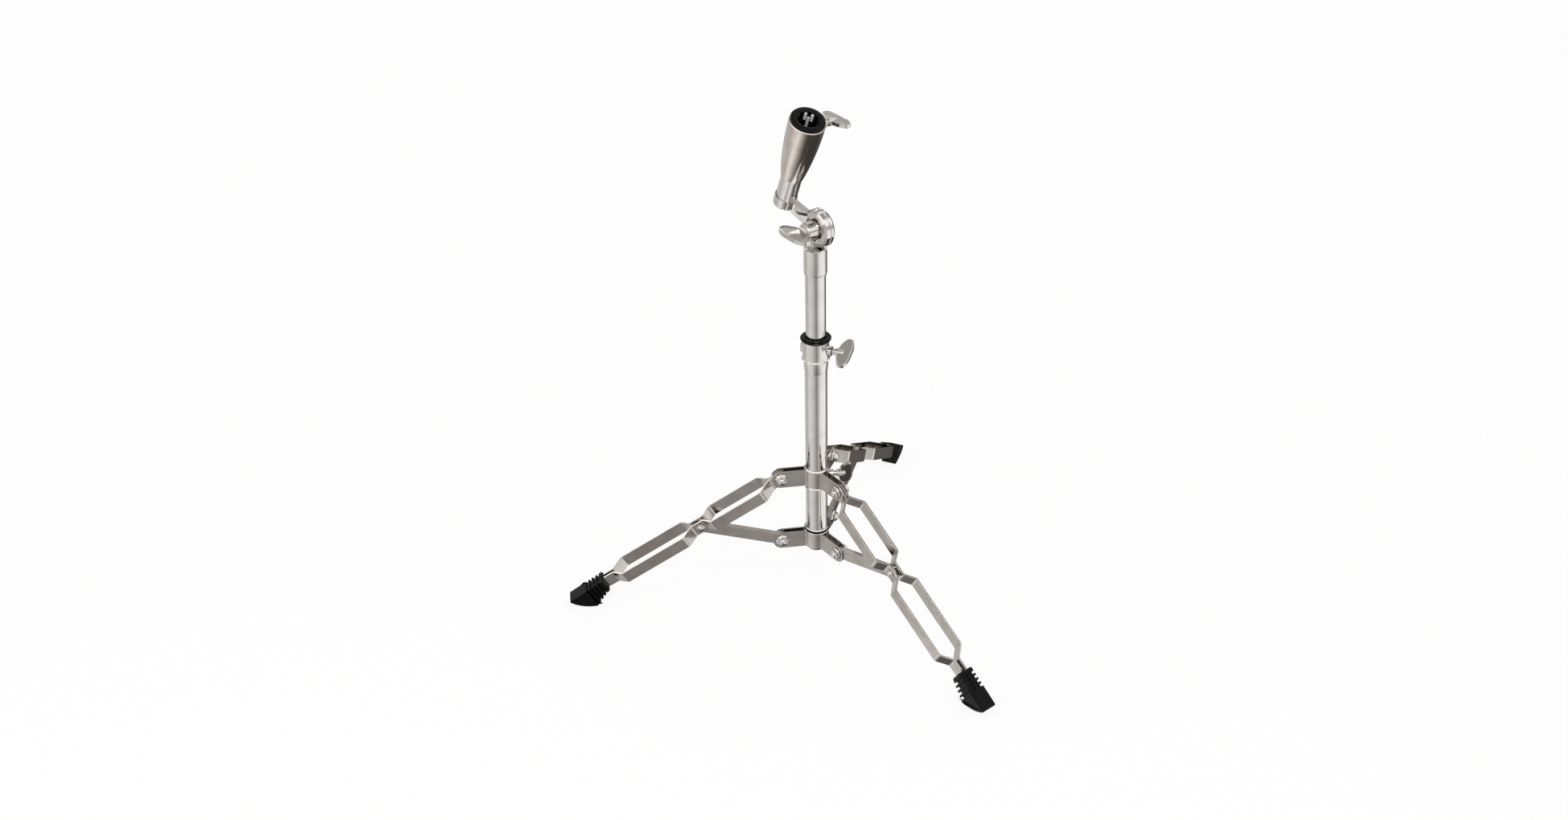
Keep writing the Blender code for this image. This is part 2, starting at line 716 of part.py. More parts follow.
def collar_path():
    """Mid line of one collar plate: in along an ear, round the tube, out along the next ear."""
    bend = COLLAR_BEND_RADIUS
    side = EAR_OFFSET + bend
    out = sqrt((COLLAR_MID_RADIUS + bend) ** 2 - side**2)
    lean = degrees(atan2(side, out))
    ear = [(EAR_END, EAR_OFFSET), *arc(out, side, bend, 270, 180 + lean, 22.5)]
    path = [Vector(p).to_3d() for p in ear]
    path = [about_z(-60) @ p for p in path]
    path += [Vector((x, y, 0)) for x, y in
             arc(0, 0, COLLAR_MID_RADIUS, -60 + lean, 60 - lean, 12.5)[1:-1]]
    path += [Vector((p.x, -p.y, 0)) for p in reversed(path[: len(ear)])]
    return [p.to_2d() for p in path]


def make_collar(which, centre):
    """Three plates round the tube, each with half of two clevises."""
    path = collar_path()
    total = stations(path)[-1]
    edge = round_end(COLLAR_HEIGHT / 2)
    edge += [(total - x, y) for x, y in reversed(edge)]
    for k, turn in enumerate((0.0, 120.0, 240.0)):
        seat = frame(f"{which}_plate_seat_{k + 1}", centre, turn=about_z(turn))
        shape = folded_strip(path, edge, COLLAR_THICKNESS)
        plate_object = place(shape, f"{which}_collar_plate_{k + 1}", seat, "chrome")
        for side in (-1, 1):
            spot = about_z(60 * side) @ Matrix.Translation((PIVOT_RADIUS, -EAR_OFFSET * side, 0)) @ ALONG_Y
            hole = rod(RIVET_HOLE_RADIUS, -EAR_HALF_GAP, EAR_HALF_GAP, RIVET_STEPS, spot)
            cut(plate_object, tool(hole, f"{which}_ear_hole_{k + 1}", seat))
        if which == "upper" and k == 0:
            add_spread_lock(plate_object, seat)


def add_spread_lock(plate_object, seat):
    """Wing bolt that locks the sliding collar, between the front and back legs."""
    outer = COLLAR_MID_RADIUS + COLLAR_THICKNESS / 2
    hole = rod(SMALL_HOLE_RADIUS, LOWER_TUBE_RADIUS - 0.001, outer + 0.002, SMALL_STEPS, ALONG_X)
    cut(plate_object, tool(hole, "spread_hole", seat))
    tip = outer + SPREAD_BOSS_REACH
    boss = sleeve(SPREAD_BOSS_DIAMETER / 2, SMALL_HOLE_RADIUS, outer - 0.002, tip, ALONG_X)
    place(boss, "spread_boss", seat, "cast_chrome")
    relief = rod(outer + GAP, -COLLAR_HEIGHT, COLLAR_HEIGHT, TUBE_STEPS, HALF_FACET)
    cut(boss, tool(relief, "spread_boss_relief", seat))
    bolt_seat = frame("spread_bolt_seat", seat, (tip + GAP, 0, 0), ALONG_X)
    wing_bolt("spread_wing_bolt", bolt_seat, tip - LOWER_TUBE_RADIUS, SMALL_WING_SPAN, 25.0)


def make_collar_ring():
    inner = LOWER_TUBE_RADIUS + GAP
    bottom = COLLAR_HEIGHT / 2 + GAP
    outer = inner + COLLAR_RING_WALL
    profile = [
        (outer, bottom + COLLAR_RING_HEIGHT),
        (outer, bottom),
        (inner, bottom),
        (inner, bottom + COLLAR_RING_HEIGHT),
    ]
    ring = turned(profile, TUBE_STEPS, closed=True)
    place(ring, "lower_collar_ring", LOWER_COLLAR, "black_nylon")


def rivet(name, parent, start, end, heads):
    """A rivet along Y from start to end, with a domed head at each end that is asked for."""
    shank = RIVET_DIAMETER / 2
    head = (RIVET_HEAD_DIAMETER if heads == 2 else MID_RIVET_HEAD_DIAMETER) / 2
    rise = RIVET_HEAD_HEIGHT if heads == 2 else MID_RIVET_HEAD_HEIGHT
    top = end + GAP
    bottom = start - GAP
    dome = [(0.0, rise), (head * 0.55, rise * 0.88), (head * 0.88, rise * 0.5), (head, 0.0)]
    profile = [(r, top + z) for r, z in dome] + [(shank, top)]
    if heads == 2:
        profile += [(shank, bottom)] + [(r, bottom - z) for r, z in reversed(dome)]
    else:
        profile += [(shank, start), (0.0, start)]
    return place(turned(profile, RIVET_STEPS, ALONG_BACK_Y), name, parent, "cast_chrome")


def make_legs():
    for leg, turn in LEG_TURNS.items():
        direction = about_z(turn)
        top = direction @ Vector((PIVOT_RADIUS, 0, 0))
        pivot = frame(f"leg_pivot_{leg}", UPPER_COLLAR, top, direction @ about_y(LEG_SLOPE))
        upper_seat = frame(f"upper_rivet_seat_{leg}", UPPER_COLLAR, top, direction)
        lower_seat = frame(f"lower_rivet_seat_{leg}", LOWER_COLLAR, top, direction)
        brace_pivot = frame(f"brace_pivot_{leg}", LOWER_COLLAR, top, direction @ about_y(-BRACE_SLOPE))
        ear_face = EAR_HALF_GAP + COLLAR_THICKNESS
        rivet(f"upper_pivot_rivet_{leg}", upper_seat, -ear_face, ear_face, 2)
        rivet(f"lower_pivot_rivet_{leg}", lower_seat, -ear_face, ear_face, 2)
        make_strips(leg, pivot)
        make_foot(leg, pivot)
        make_brace(leg, brace_pivot)


def strip_path():
    start = -STRIP_HEIGHT / 2
    corners = [
        (start, STRIP_TOP_OFFSET),
        (UPPER_BOW[0], STRIP_TOP_OFFSET),
        (UPPER_BOW[1], STRIP_BOW),
        (UPPER_BOW[2], STRIP_BOW),
        (UPPER_BOW[3], STRIP_WAIST_OFFSET),
        (LOWER_BOW[0], STRIP_WAIST_OFFSET),
        (LOWER_BOW[1], STRIP_BOW),
        (LOWER_BOW[2], STRIP_BOW),
        (LOWER_BOW[3], STRIP_FOOT_OFFSET),
        (STRIP_LENGTH, STRIP_FOOT_OFFSET),
    ]
    return rounded_path(corners, STRIP_BEND_RADIUS)


def make_strips(leg, pivot):
    half = STRIP_HEIGHT / 2
    tongue = TONGUE_HEIGHT / 2
    path = strip_path()
    total = stations(path)[-1]
    shoulder = length_at(path, FOOT_NOSE - FOOT_LENGTH - GAP)
    edge = round_end(half)
    edge += [(shoulder - STRIP_SHOULDER, half), (shoulder, tongue), (total, tongue)]
    for side, letter in ((1, "a"), (-1, "b")):
        bent = [Vector((p.x, side * p.y)) for p in path]
        strip = place(
            folded_strip(bent, edge, STRIP_THICKNESS), f"leg_strip_{leg}_{letter}", pivot, "chrome"
        )
        for along in (0.0, MID_DISTANCE):
            spot = Matrix.Translation((along, 0, 0)) @ ALONG_Y
            hole = rod(RIVET_HOLE_RADIUS, -STRIP_BOW, STRIP_BOW, RIVET_STEPS, spot)
            cut(strip, tool(hole, f"strip_hole_{leg}_{letter}", pivot))
        seat = frame(f"mid_seat_{leg}_{letter}", pivot, (MID_DISTANCE, 0, 0), about_z(90 - 90 * side))
        inner = STRIP_WAIST_OFFSET - STRIP_THICKNESS / 2
        rivet(f"mid_rivet_{leg}_{letter}", seat, inner, inner + STRIP_THICKNESS, 1)


def make_foot(leg, pivot):
    foot = plate([foot_outline()], FOOT_WIDTH, ALONG_Y)
    place(foot, f"foot_{leg}", pivot, "black_rubber")
    edge = foot.modifiers.new("edge", "BEVEL")
    edge.width = FOOT_EDGE
    edge.segments = 1
    edge.limit_method = "ANGLE"
    edge.angle_limit = radians(50)
    cap = FOOT_NOSE - FOOT_LENGTH
    core = FOOT_WIDTH / 2 - FOOT_FIN_DEPTH
    first = FOOT_NOSE - FOOT_HEEL
    for k in range(FOOT_FIN_COUNT + 1):
        low = first - FOOT_FIN_PITCH * k - (FOOT_FIN_PITCH - FOOT_FIN_THICKNESS)
        high = first - FOOT_FIN_PITCH * k
        middle = (low + high) / 2
        top = foot_top(middle) - FOOT_FIN_TOP_DEPTH
        bottom = foot_belly(middle) + FOOT_FIN_DEPTH
        far = FOOT_WIDTH
        rim = [(-far, -2 * far), (far, -2 * far), (far, 2 * far), (-far, 2 * far)]
        inside = [(-core, bottom), (core, bottom), (core, top), (-core, top)]
        slot = plate([rim, inside], high - low, UPRIGHT_ACROSS)
        slot.data.transform(Matrix.Translation((middle, 0, 0)))
        cut(foot, tool(slot, f"foot_slot_{leg}_{k + 1}", pivot))
    tongue = TONGUE_HEIGHT / 2 + GAP
    for side in (1, -1):
        near = side * (STRIP_FOOT_OFFSET - STRIP_THICKNESS / 2 - GAP)
        far = side * (STRIP_FOOT_OFFSET + STRIP_THICKNESS / 2 + GAP)
        pocket = block((cap - 0.002, min(near, far), -tongue), (STRIP_LENGTH + GAP, max(near, far), tongue))
        cut(foot, tool(pocket, f"foot_pocket_{leg}_{side}", pivot))


# Outline x turns to Y, outline y to Z, and thickness lies along X
UPRIGHT_ACROSS = Matrix(((0, 0, 1, 0), (1, 0, 0, 0), (0, 1, 0, 0), (0, 0, 0, 1)))


def make_brace(leg, pivot):
    half = BRACE_HEIGHT / 2
    outline = rounded_bar(BRACE_LENGTH, half)
    holes = [circle(0, 0, RIVET_HOLE_RADIUS), circle(BRACE_LENGTH, 0, RIVET_HOLE_RADIUS)]
    channel = plate([outline, *holes], BRACE_WIDTH, ALONG_Y)
    place(channel, f"brace_{leg}", pivot, "chrome")
    inside = BRACE_WIDTH / 2 - BRACE_WALL
    trough = block((-half * 2, -inside, -half * 2), (BRACE_LENGTH + half * 2, inside, half - BRACE_WALL))
    cut(channel, tool(trough, f"brace_trough_{leg}", pivot))


def make_upper_tube():
    inner = UPPER_TUBE_RADIUS - TUBE_WALL
    low = 0.0
    high = UPPER_TUBE_LENGTH
    profile = [(UPPER_TUBE_RADIUS, high), (UPPER_TUBE_RADIUS, low), (inner, low), (inner, high)]
    place(turned(profile, TUBE_STEPS, closed=True), "upper_tube", COLUMN, "chrome")
    spigot = inner - GAP
    skirt = LOWER_TUBE_RADIUS - TUBE_WALL - GAP
    plug = [
        (0.0, 0.0120),
        (spigot, 0.0120),
        (spigot, low - GAP),
        (skirt, low - GAP),
        (skirt, low - 0.0080),
        (0.0, low - 0.0080),
    ]
    place(turned(plug, SMALL_STEPS), "guide_plug", SLIDE, "black_nylon")


def make_tilter_base():
    top = -HINGE_RISE
    bottom = top - SLEEVE_LENGTH
    inner = UPPER_TUBE_RADIUS + GAP
    profile = [
        (0.0, top),
        (SLEEVE_RADIUS - 0.0012, top),
        (SLEEVE_RADIUS, top - 0.0012),
        (SLEEVE_RADIUS, bottom + SLEEVE_STEP + 0.0006),
        (SLEEVE_RADIUS - 0.0006, bottom + SLEEVE_STEP),
        (SLEEVE_RADIUS - 0.0006, bottom),
        (inner, bottom),
        (inner, top - SLEEVE_CAP),
        (0.0, top - SLEEVE_CAP),
    ]
    base = place(turned(profile, TUBE_STEPS), "tilter_base", HINGE, "cast_chrome")
    face = DISC_FACE_OFFSET
    back = face + BASE_DISC_THICKNESS
    disc = DISC_DIAMETER / 2
    rim = [
        (0.0, -face),
        (disc - 0.0008, -face),
        (disc, -face - 0.0008),
        (disc, -back + 0.0030),
        (disc - 0.0030, -back),
        (0.0, -back),
    ]
    neck = block(
        (-NECK_WIDTH / 2, face + 0.0006, top - SLEEVE_CAP / 2), (NECK_WIDTH / 2, back - 0.0008, -disc / 2)
    )
    join(base, tool(neck, "tilter_base_neck", HINGE))
    join(base, tool(turned(rim, TUBE_STEPS, ALONG_Y), "tilter_base_disc", HINGE))
    bore = TILT_SCREW_DIAMETER / 2 + SCREW_CLEARANCE
    hole = rod(bore, -back - 0.002, -face + 0.002, SMALL_STEPS, ALONG_Y)
    cut(base, tool(hole, "tilter_base_hole", HINGE))
    outline = [circle(0, 0, TILT_NUT_ACROSS_CORNERS / 2, 6), circle(0, 0, bore, SMALL_STEPS)]
    nut = plate(outline, TILT_NUT_HEIGHT, ALONG_Y)
    nut.data.transform(Matrix.Translation((0, back + GAP + TILT_NUT_HEIGHT / 2, 0)))
    place(nut, "tilter_nut", HINGE, "cast_chrome")


def make_tilter_arm():
    disc = DISC_DIAMETER / 2
    low = -DISC_FACE_OFFSET + GAP
    high = low + ARM_DISC_THICKNESS
    recess = RECESS_DIAMETER / 2
    bore = TILT_SCREW_DIAMETER / 2 + SCREW_CLEARANCE
    rim = [
        (recess + 0.0006, high),
        (disc - 0.0025, high),
        (disc, high - 0.0025),
        (disc, low + 0.0008),
        (disc - 0.0008, low),
        (bore, low),
        (bore, high - RECESS_DEPTH),
        (recess, high - RECESS_DEPTH),
    ]
    arm = place(turned(rim, TUBE_STEPS, ALONG_Y, closed=True), "tilter_arm", ARM, "cast_chrome")
    # The arm leaves the disc's rim beside the open recess and climbs to the ring.
    start = Vector((-recess - 0.0010, -low - ARM_DISC_THICKNESS / 2 - 0.0003, 0))
    middle = (RING_ABOVE - RING_BELOW) / 2
    end = Vector((-ARM_REACH + 0.0020, -ARM_OFFSET, ARM_RISE + middle))
    narrow = (ARM_THICKNESS * 0.70, ARM_HEIGHT_AT_DISC)
    wide = (ARM_THICKNESS, RING_BELOW + RING_ABOVE - 0.0010)
    beam = beam_between(start, end, narrow, wide)
    join(arm, tool(beam, "tilter_arm_beam", ARM))
    ring = rod(RING_RADIUS, -RING_BELOW, RING_ABOVE, TUBE_STEPS, HALF_FACET)
    ring_seat = frame("pipe_seat", ARM, (-ARM_REACH, -ARM_OFFSET, ARM_RISE))
    join(arm, tool(ring, "tilter_arm_ring", ring_seat))
    well = rod(PIPE_DIAMETER / 2 + GAP, -RING_BELOW + RING_FLOOR, RING_ABOVE * 2, TUBE_STEPS)
    cut(arm, tool(well, "tilter_arm_well", ring_seat))
    seat = frame("tilter_bolt_seat", ARM, (0, -(high - RECESS_DEPTH) - GAP, 0), ALONG_Y)
    reach = high - RECESS_DEPTH + DISC_FACE_OFFSET + BASE_DISC_THICKNESS + TILT_NUT_HEIGHT
    wing_bolt("tilter_wing_bolt", seat, reach, LARGE_WING_SPAN, 24.0, large=True)
    make_socket(ring_seat)


def cone_radius(height):
    """Outer radius of the flared shell at a height above the ring's middle."""
    share = min(1.0, max(0.0, (height - CONE_START) / CONE_LENGTH))
    return CONE_BOTTOM_RADIUS + (CONE_TOP_RADIUS - CONE_BOTTOM_RADIUS) * (1 - (1 - share) ** CONE_FLARE)


def make_socket(seat):
    pipe_bottom = -RING_BELOW + RING_FLOOR + GAP
    pipe_top = CONE_START + CONE_OVERLAP - GAP
    outer = PIPE_DIAMETER / 2
    inner = outer - TUBE_WALL
    profile = [(outer, pipe_top), (outer, pipe_bottom), (inner, pipe_bottom), (inner, pipe_top)]
    pipe = place(turned(profile, TUBE_STEPS, closed=True), "socket_pipe", seat, "chrome")
    key = block(
        (outer - TUBE_WALL / 2, -KEY_WIDTH / 2, RING_ABOVE + GAP),
        (outer + KEY_DEPTH, KEY_WIDTH / 2, CONE_START - GAP),
    )
    turned_seat = frame("key_seat", seat, turn=about_z(KEY_TURN))
    join(pipe, tool(key, "pipe_key", turned_seat))

    count = 7
    heights = [CONE_END - CONE_LENGTH * k / count for k in range(count + 1)]
    shell = [(cone_radius(z), z) for z in heights]
    bore = [(max(cone_radius(z) - CONE_WALL, outer + GAP), z) for z in reversed(heights)]
    cone = place(turned(shell + bore, TUBE_STEPS, closed=True), "socket_cone", seat, "chrome")
    skin = CONE_WALL * 0.85
    top = CONE_START + KEY_LENGTH_ON_CONE
    steps = [CONE_START + KEY_LENGTH_ON_CONE * share for share in (0.0, 0.3, 0.6, 0.85)]
    rib = [(cone_radius(z) - skin, z) for z in steps] + [(cone_radius(top) - skin, top)]
    rib += [(cone_radius(z) + KEY_HEIGHT_ON_CONE, z) for z in reversed(steps)]
    join(cone, tool(plate([rib], KEY_WIDTH, ALONG_Y), "cone_rib", turned_seat))

    rim = CONE_END + GAP
    flange = INSERT_FLANGE_DIAMETER / 2
    hollow = SOCKET_BORE_DIAMETER / 2
    bottom = CONE_END - INSERT_LENGTH
    low_body = min(hollow + INSERT_WALL, cone_radius(bottom) - CONE_WALL - GAP)
    steps = [CONE_END - INSERT_LENGTH * k / 4 for k in range(5)]
    body = [(cone_radius(z) - CONE_WALL - GAP, z) for z in steps]
    liner_profile = [
        (hollow + 0.0010, rim + INSERT_FLANGE_HEIGHT),
        (flange - 0.0008, rim + INSERT_FLANGE_HEIGHT),
        (flange, rim + INSERT_FLANGE_HEIGHT - 0.0008),
        (flange, rim),
        (body[0][0], rim),
        *body[1:-1],
        (low_body, bottom),
        (hollow, bottom),
        (hollow, rim + INSERT_FLANGE_HEIGHT - 0.0010),
    ]
    liner = turned(liner_profile, TUBE_STEPS, closed=True)
    place(liner, "socket_insert", seat, "black_nylon")

    height = CONE_END - SOCKET_BOLT_DROP
    aim = frame("socket_bolt_aim", seat, (0, 0, height))
    wall = cone_radius(height)
    tip = CONE_TOP_RADIUS + SOCKET_BOSS_REACH
    hole = rod(SMALL_HOLE_RADIUS, hollow - 0.003, wall + 0.003, SMALL_STEPS, ALONG_BACK_Y)
    drill = tool(hole, "socket_bolt_hole", aim)
    cut(cone, drill)
    cut(liner, drill)
    boss = sleeve(SOCKET_BOSS_DIAMETER / 2, SMALL_HOLE_RADIUS, wall - 0.002, tip, ALONG_BACK_Y)
    place(boss, "socket_boss", aim, "cast_chrome")
    relief = rod(
        CONE_TOP_RADIUS + GAP, -SOCKET_BOSS_DIAMETER, SOCKET_BOSS_DIAMETER, TUBE_STEPS, HALF_FACET
    )
    cut(boss, tool(relief, "socket_boss_relief", aim))
    bolt_seat = frame("socket_bolt_seat", aim, (0, tip + GAP, 0), ALONG_BACK_Y)
    wing_bolt("socket_wing_bolt", bolt_seat, tip - hollow - GAP, SMALL_WING_SPAN, -21.0)


make_lower_tube()
make_height_bush()
make_clamp_collar()
make_collar("lower", LOWER_COLLAR)
make_collar("upper", UPPER_COLLAR)
make_collar_ring()
make_legs()
make_upper_tube()
make_tilter_base()
make_tilter_arm()
bpy.context.view_layer.update()
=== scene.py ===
import math

import bmesh
import bpy
from mathutils import Matrix, Vector


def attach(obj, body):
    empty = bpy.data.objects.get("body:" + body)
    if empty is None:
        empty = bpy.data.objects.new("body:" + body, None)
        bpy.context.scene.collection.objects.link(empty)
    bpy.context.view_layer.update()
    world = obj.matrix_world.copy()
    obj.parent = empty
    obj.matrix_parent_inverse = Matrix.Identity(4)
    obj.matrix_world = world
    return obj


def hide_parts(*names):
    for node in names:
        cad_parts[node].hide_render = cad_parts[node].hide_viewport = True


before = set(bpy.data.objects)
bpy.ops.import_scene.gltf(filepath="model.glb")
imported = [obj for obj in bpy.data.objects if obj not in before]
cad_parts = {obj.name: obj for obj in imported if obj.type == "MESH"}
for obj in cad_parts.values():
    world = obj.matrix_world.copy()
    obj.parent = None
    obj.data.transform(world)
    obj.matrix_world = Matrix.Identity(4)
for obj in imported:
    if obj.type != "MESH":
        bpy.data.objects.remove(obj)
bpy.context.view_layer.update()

print("frame loaded:", len(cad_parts), "nodes")


# Finishes

# sRGB hex to linear
def fromHex(text):
    parts = [int(text[k:k + 2], 16) / 255 for k in (1, 3, 5)]
    return tuple(c / 12.92 if c <= 0.04045 else ((c + 0.055) / 1.055) ** 2.4 for c in parts)


def addNode(tree, kind, links=None, **settings):
    node = tree.nodes.new(kind)
    for name, value in settings.items():
        if hasattr(node, name):
            setattr(node, name, value)
        else:
            node.inputs[name.replace("_", " ")].default_value = value
    for name, source in (links or {}).items():
        tree.links.new(source, node.inputs[name])
    return node


cloudSize = 0.018  # of the slow drift in every finish's tint, in metres


# Colours and roughness are low and high ends; grit is the pattern's size in metres
def finishFor(name, slot, colours, metallic, roughness, grit, bump, stretch=(1, 1, 1), sheen=0.5):
    material = bpy.data.materials.new(name)
    material.use_nodes = True
    tree = material.node_tree
    shader = tree.nodes["Principled BSDF"]
    shader.inputs["Metallic"].default_value = metallic
    shader.inputs["Specular IOR Level"].default_value = sheen
    place = addNode(tree, "ShaderNodeTexCoord")
    spread = addNode(tree, "ShaderNodeMapping", {"Vector": place.outputs["Object"]}, Scale=stretch)
    cloud = addNode(tree, "ShaderNodeTexNoise", {"Vector": place.outputs["Object"]},
                    Scale=1 / cloudSize, Detail=3.0)
    grain = addNode(tree, "ShaderNodeTexNoise", {"Vector": spread.outputs["Vector"]},
                    Scale=1 / grit, Detail=2.0)
    tint = addNode(tree, "ShaderNodeValToRGB", {"Fac": cloud.outputs["Fac"]})
    for stop, colour, where in zip(tint.color_ramp.elements, colours, (0.35, 0.65)):
        stop.position = where
        stop.color = (*fromHex(colour), 1)
    gloss = addNode(tree, "ShaderNodeMapRange", {"Value": grain.outputs["Fac"]})
    gloss.inputs["From Min"].default_value = 0.3
    gloss.inputs["From Max"].default_value = 0.7
    gloss.inputs["To Min"].default_value = roughness[0]
    gloss.inputs["To Max"].default_value = roughness[1]
    relief = addNode(tree, "ShaderNodeBump", {"Height": grain.outputs["Fac"]},
                     Strength=bump[0], Distance=bump[1])
    tree.links.new(tint.outputs["Color"], shader.inputs["Base Color"])
    tree.links.new(gloss.outputs["Result"], shader.inputs["Roughness"])
    tree.links.new(relief.outputs["Normal"], shader.inputs["Normal"])
    return material, slot


# Bright chrome over drawn steel tube: a mirror with faint draw lines along it
tubeChrome = finishFor("chromedDrawnTube", "chrome", ("#CFCCC9", "#D8D5D2"), 1.0, (0.03, 0.07),
                       0.0008, (0.03, 0.0002), (1, 1, 0.05))
# Chrome over pressed strip: not polished first, so a little orange peel shows
stripChrome = finishFor("chromedPressedStrip", "chrome", ("#BBB5B0", "#C8C3BE"), 1.0, (0.06, 0.13),
                        0.0016, (0.02, 0.0003))
# Chrome over thick collar plate: brushed before plating, so it only half mirrors
plateChrome = finishFor("chromedBrushedPlate", "chrome", ("#B6B1AC", "#C3BEB9"), 1.0, (0.13, 0.21),
                        0.0012, (0.05, 0.0002), (0.1, 0.1, 1))
# Chrome over die-cast zinc: softer edges and a slightly clouded mirror
castChrome = finishFor("chromedZincCasting", "cast_chrome", ("#CDCAC6", "#DAD7D3"), 1.0, (0.04, 0.10),
                       0.0012, (0.05, 0.0003))
# Chrome over tumbled zinc, for the hand-held wings: satin
wingChrome = finishFor("chromedTumbledZinc", "cast_chrome", ("#C6C3BE", "#D2CFCA"), 1.0, (0.08, 0.15),
                       0.0009, (0.06, 0.0002))
# Chrome over the spun shell: a warmer mirror than the tubes, with turning marks round it
shellChrome = finishFor("chromedSpunShell", "chrome", ("#CBC1BA", "#D6CDC6"), 1.0, (0.08, 0.14),
                        0.0007, (0.04, 0.0002), (0.08, 0.08, 1))
# Pale and slightly shiny, for the ribs down in the socket: their pale colour is a painted highlight, bright
# bars in the dark bore
ribHighlightPale = finishFor("paleRibsPaintedHighlight", "black_nylon", ("#E6E8EE", "#F2F3F7"), 0.0, (0.22, 0.32),
                       0.0005, (0.04, 0.0002))
# Moulded nylon: black, with a satin skin
blackNylon = finishFor("mouldedBlackNylon", "black_nylon", ("#060607", "#0B0B0C"), 0.0, (0.12, 0.20),
                       0.0006, (0.04, 0.0002), sheen=0.15)
# Moulded rubber: matt black with a dry bloom
blackRubber = finishFor("mouldedBlackRubber", "black_rubber", ("#050505", "#0B0A0A"), 0.0, (0.32, 0.46),
                        0.0007, (0.15, 0.0003), sheen=0.14)
print("finishes made")


# Modelling. Bare numbers in a profile are its small roundings and steps, in metres

def turnX(angle):
    return Matrix.Rotation(math.radians(angle), 4, "X")


def turnY(angle):
    return Matrix.Rotation(math.radians(angle), 4, "Y")


def turnZ(angle):
    return Matrix.Rotation(math.radians(angle), 4, "Z")


def shift(x, y, z):
    return Matrix.Translation((x, y, z))


# Turns a profile of (radius, height) once round Z
def spinProfile(bm, points, place, steps=96, closed=False):
    verts = [bm.verts.new((r, 0, z)) for r, z in points]
    edges = [bm.edges.new(pair) for pair in zip(verts, verts[1:])]
    if closed:
        edges.append(bm.edges.new((verts[-1], verts[0])))
    bmesh.ops.spin(bm, geom=verts + edges, axis=(0, 0, 1), cent=(0, 0, 0),
                   angle=math.tau, steps=steps, use_merge=True)
    ring = {v for f in bm.faces for v in f.verts if not f.tag}
    bmesh.ops.remove_doubles(bm, verts=list(ring), dist=1e-6)
    fresh = [f for f in bm.faces if not f.tag]
    bmesh.ops.transform(bm, matrix=place, verts=list({v for f in fresh for v in f.verts}))
    for f in fresh:
        f.tag = True


def addBlock(bm, low, high, place):
    size = [b - a for a, b in zip(low, high)]
    middle = [(a + b) / 2 for a, b in zip(low, high)]
    made = bmesh.ops.create_cube(bm, size=1, matrix=place @ shift(*middle) @ Matrix.Diagonal((*size, 1)))
    for f in {f for v in made["verts"] for f in v.link_faces}:
        f.tag = True
    return made["verts"]


# Bevels the edges that turn more than the angle
def softenEdges(bm, width, segments=2, angle=30, keep=None):
    sharp = [e for e in bm.edges if len(e.link_faces) == 2 and e.calc_face_angle(0) > math.radians(angle)
             and (keep is None or keep(e))]
    bmesh.ops.bevel(bm, geom=sharp, offset=width, segments=segments, profile=0.5, affect="EDGES",
                    material=-1, clamp_overlap=True)


def finishPiece(bm, name, body, material, *nodes, smooth=35):
    bmesh.ops.recalc_face_normals(bm, faces=bm.faces)
    mesh = bpy.data.meshes.new(name)
    bm.to_mesh(mesh)
    bm.free()
    mesh.shade_smooth()
    mesh.set_sharp_from_angle(angle=math.radians(smooth))
    mesh.materials.append(material[0])
    piece = bpy.data.objects.new(name, mesh)
    bpy.context.collection.objects.link(piece)
    flatFaces = piece.modifiers.new("flatFaces", "WEIGHTED_NORMAL")  # they stay flat beside rounded edges
    flatFaces.keep_sharp = True
    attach(piece, body)
    if nodes:
        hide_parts(*nodes)


# The solid's own faces, joined and with its flat ones made whole
def copyNode(name):
    bm = bmesh.new()
    bm.from_mesh(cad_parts[name].data)
    bmesh.ops.remove_doubles(bm, verts=bm.verts, dist=2e-6)
    bmesh.ops.dissolve_limit(bm, angle_limit=math.radians(0.8), verts=bm.verts, edges=bm.edges)
    return bm


# Rounds the outer edges and leaves the creases sharp
def dressNode(name, pieceName, body, material, width, segments=2, angle=30, smooth=35):
    bm = copyNode(name)
    softenEdges(bm, width, segments, angle, keep=lambda e: e.is_convex)
    finishPiece(bm, pieceName, body, material, name, smooth=smooth)


# A closed profile turned once round Z, as a piece of its own
def makeTurned(name, body, material, points, place, *nodes):
    bm = bmesh.new()
    spinProfile(bm, points, place, closed=True)
    finishPiece(bm, name, body, material, *nodes)


columnX = 0.07997
column = shift(columnX, 0, 0)
upperCollar = column @ shift(0, 0, 0.177293)
lowerCollar = column @ shift(0, 0, 0.077526)
hinge = column @ shift(0, 0, 0.536126) @ turnZ(-62.5)
arm = hinge @ turnY(22.4)
pipeSeat = arm @ shift(-0.048, -0.0147, 0.0124)
keySeat = pipeSeat @ turnZ(-25)
legTurns = {"left": 180, "front": 300, "back": 60}
legSlope = 30.69
pivotOut = 0.0475


# Column tubes, with a rolled bell at the top of the lower one
lowerTube = {"radius": 0.0143, "bell": 0.01595, "neck": 0.0152, "wall": 0.0012,
             "bottom": 0.064226, "bellBottom": 0.340226, "bellTop": 0.356226, "top": 0.384226}


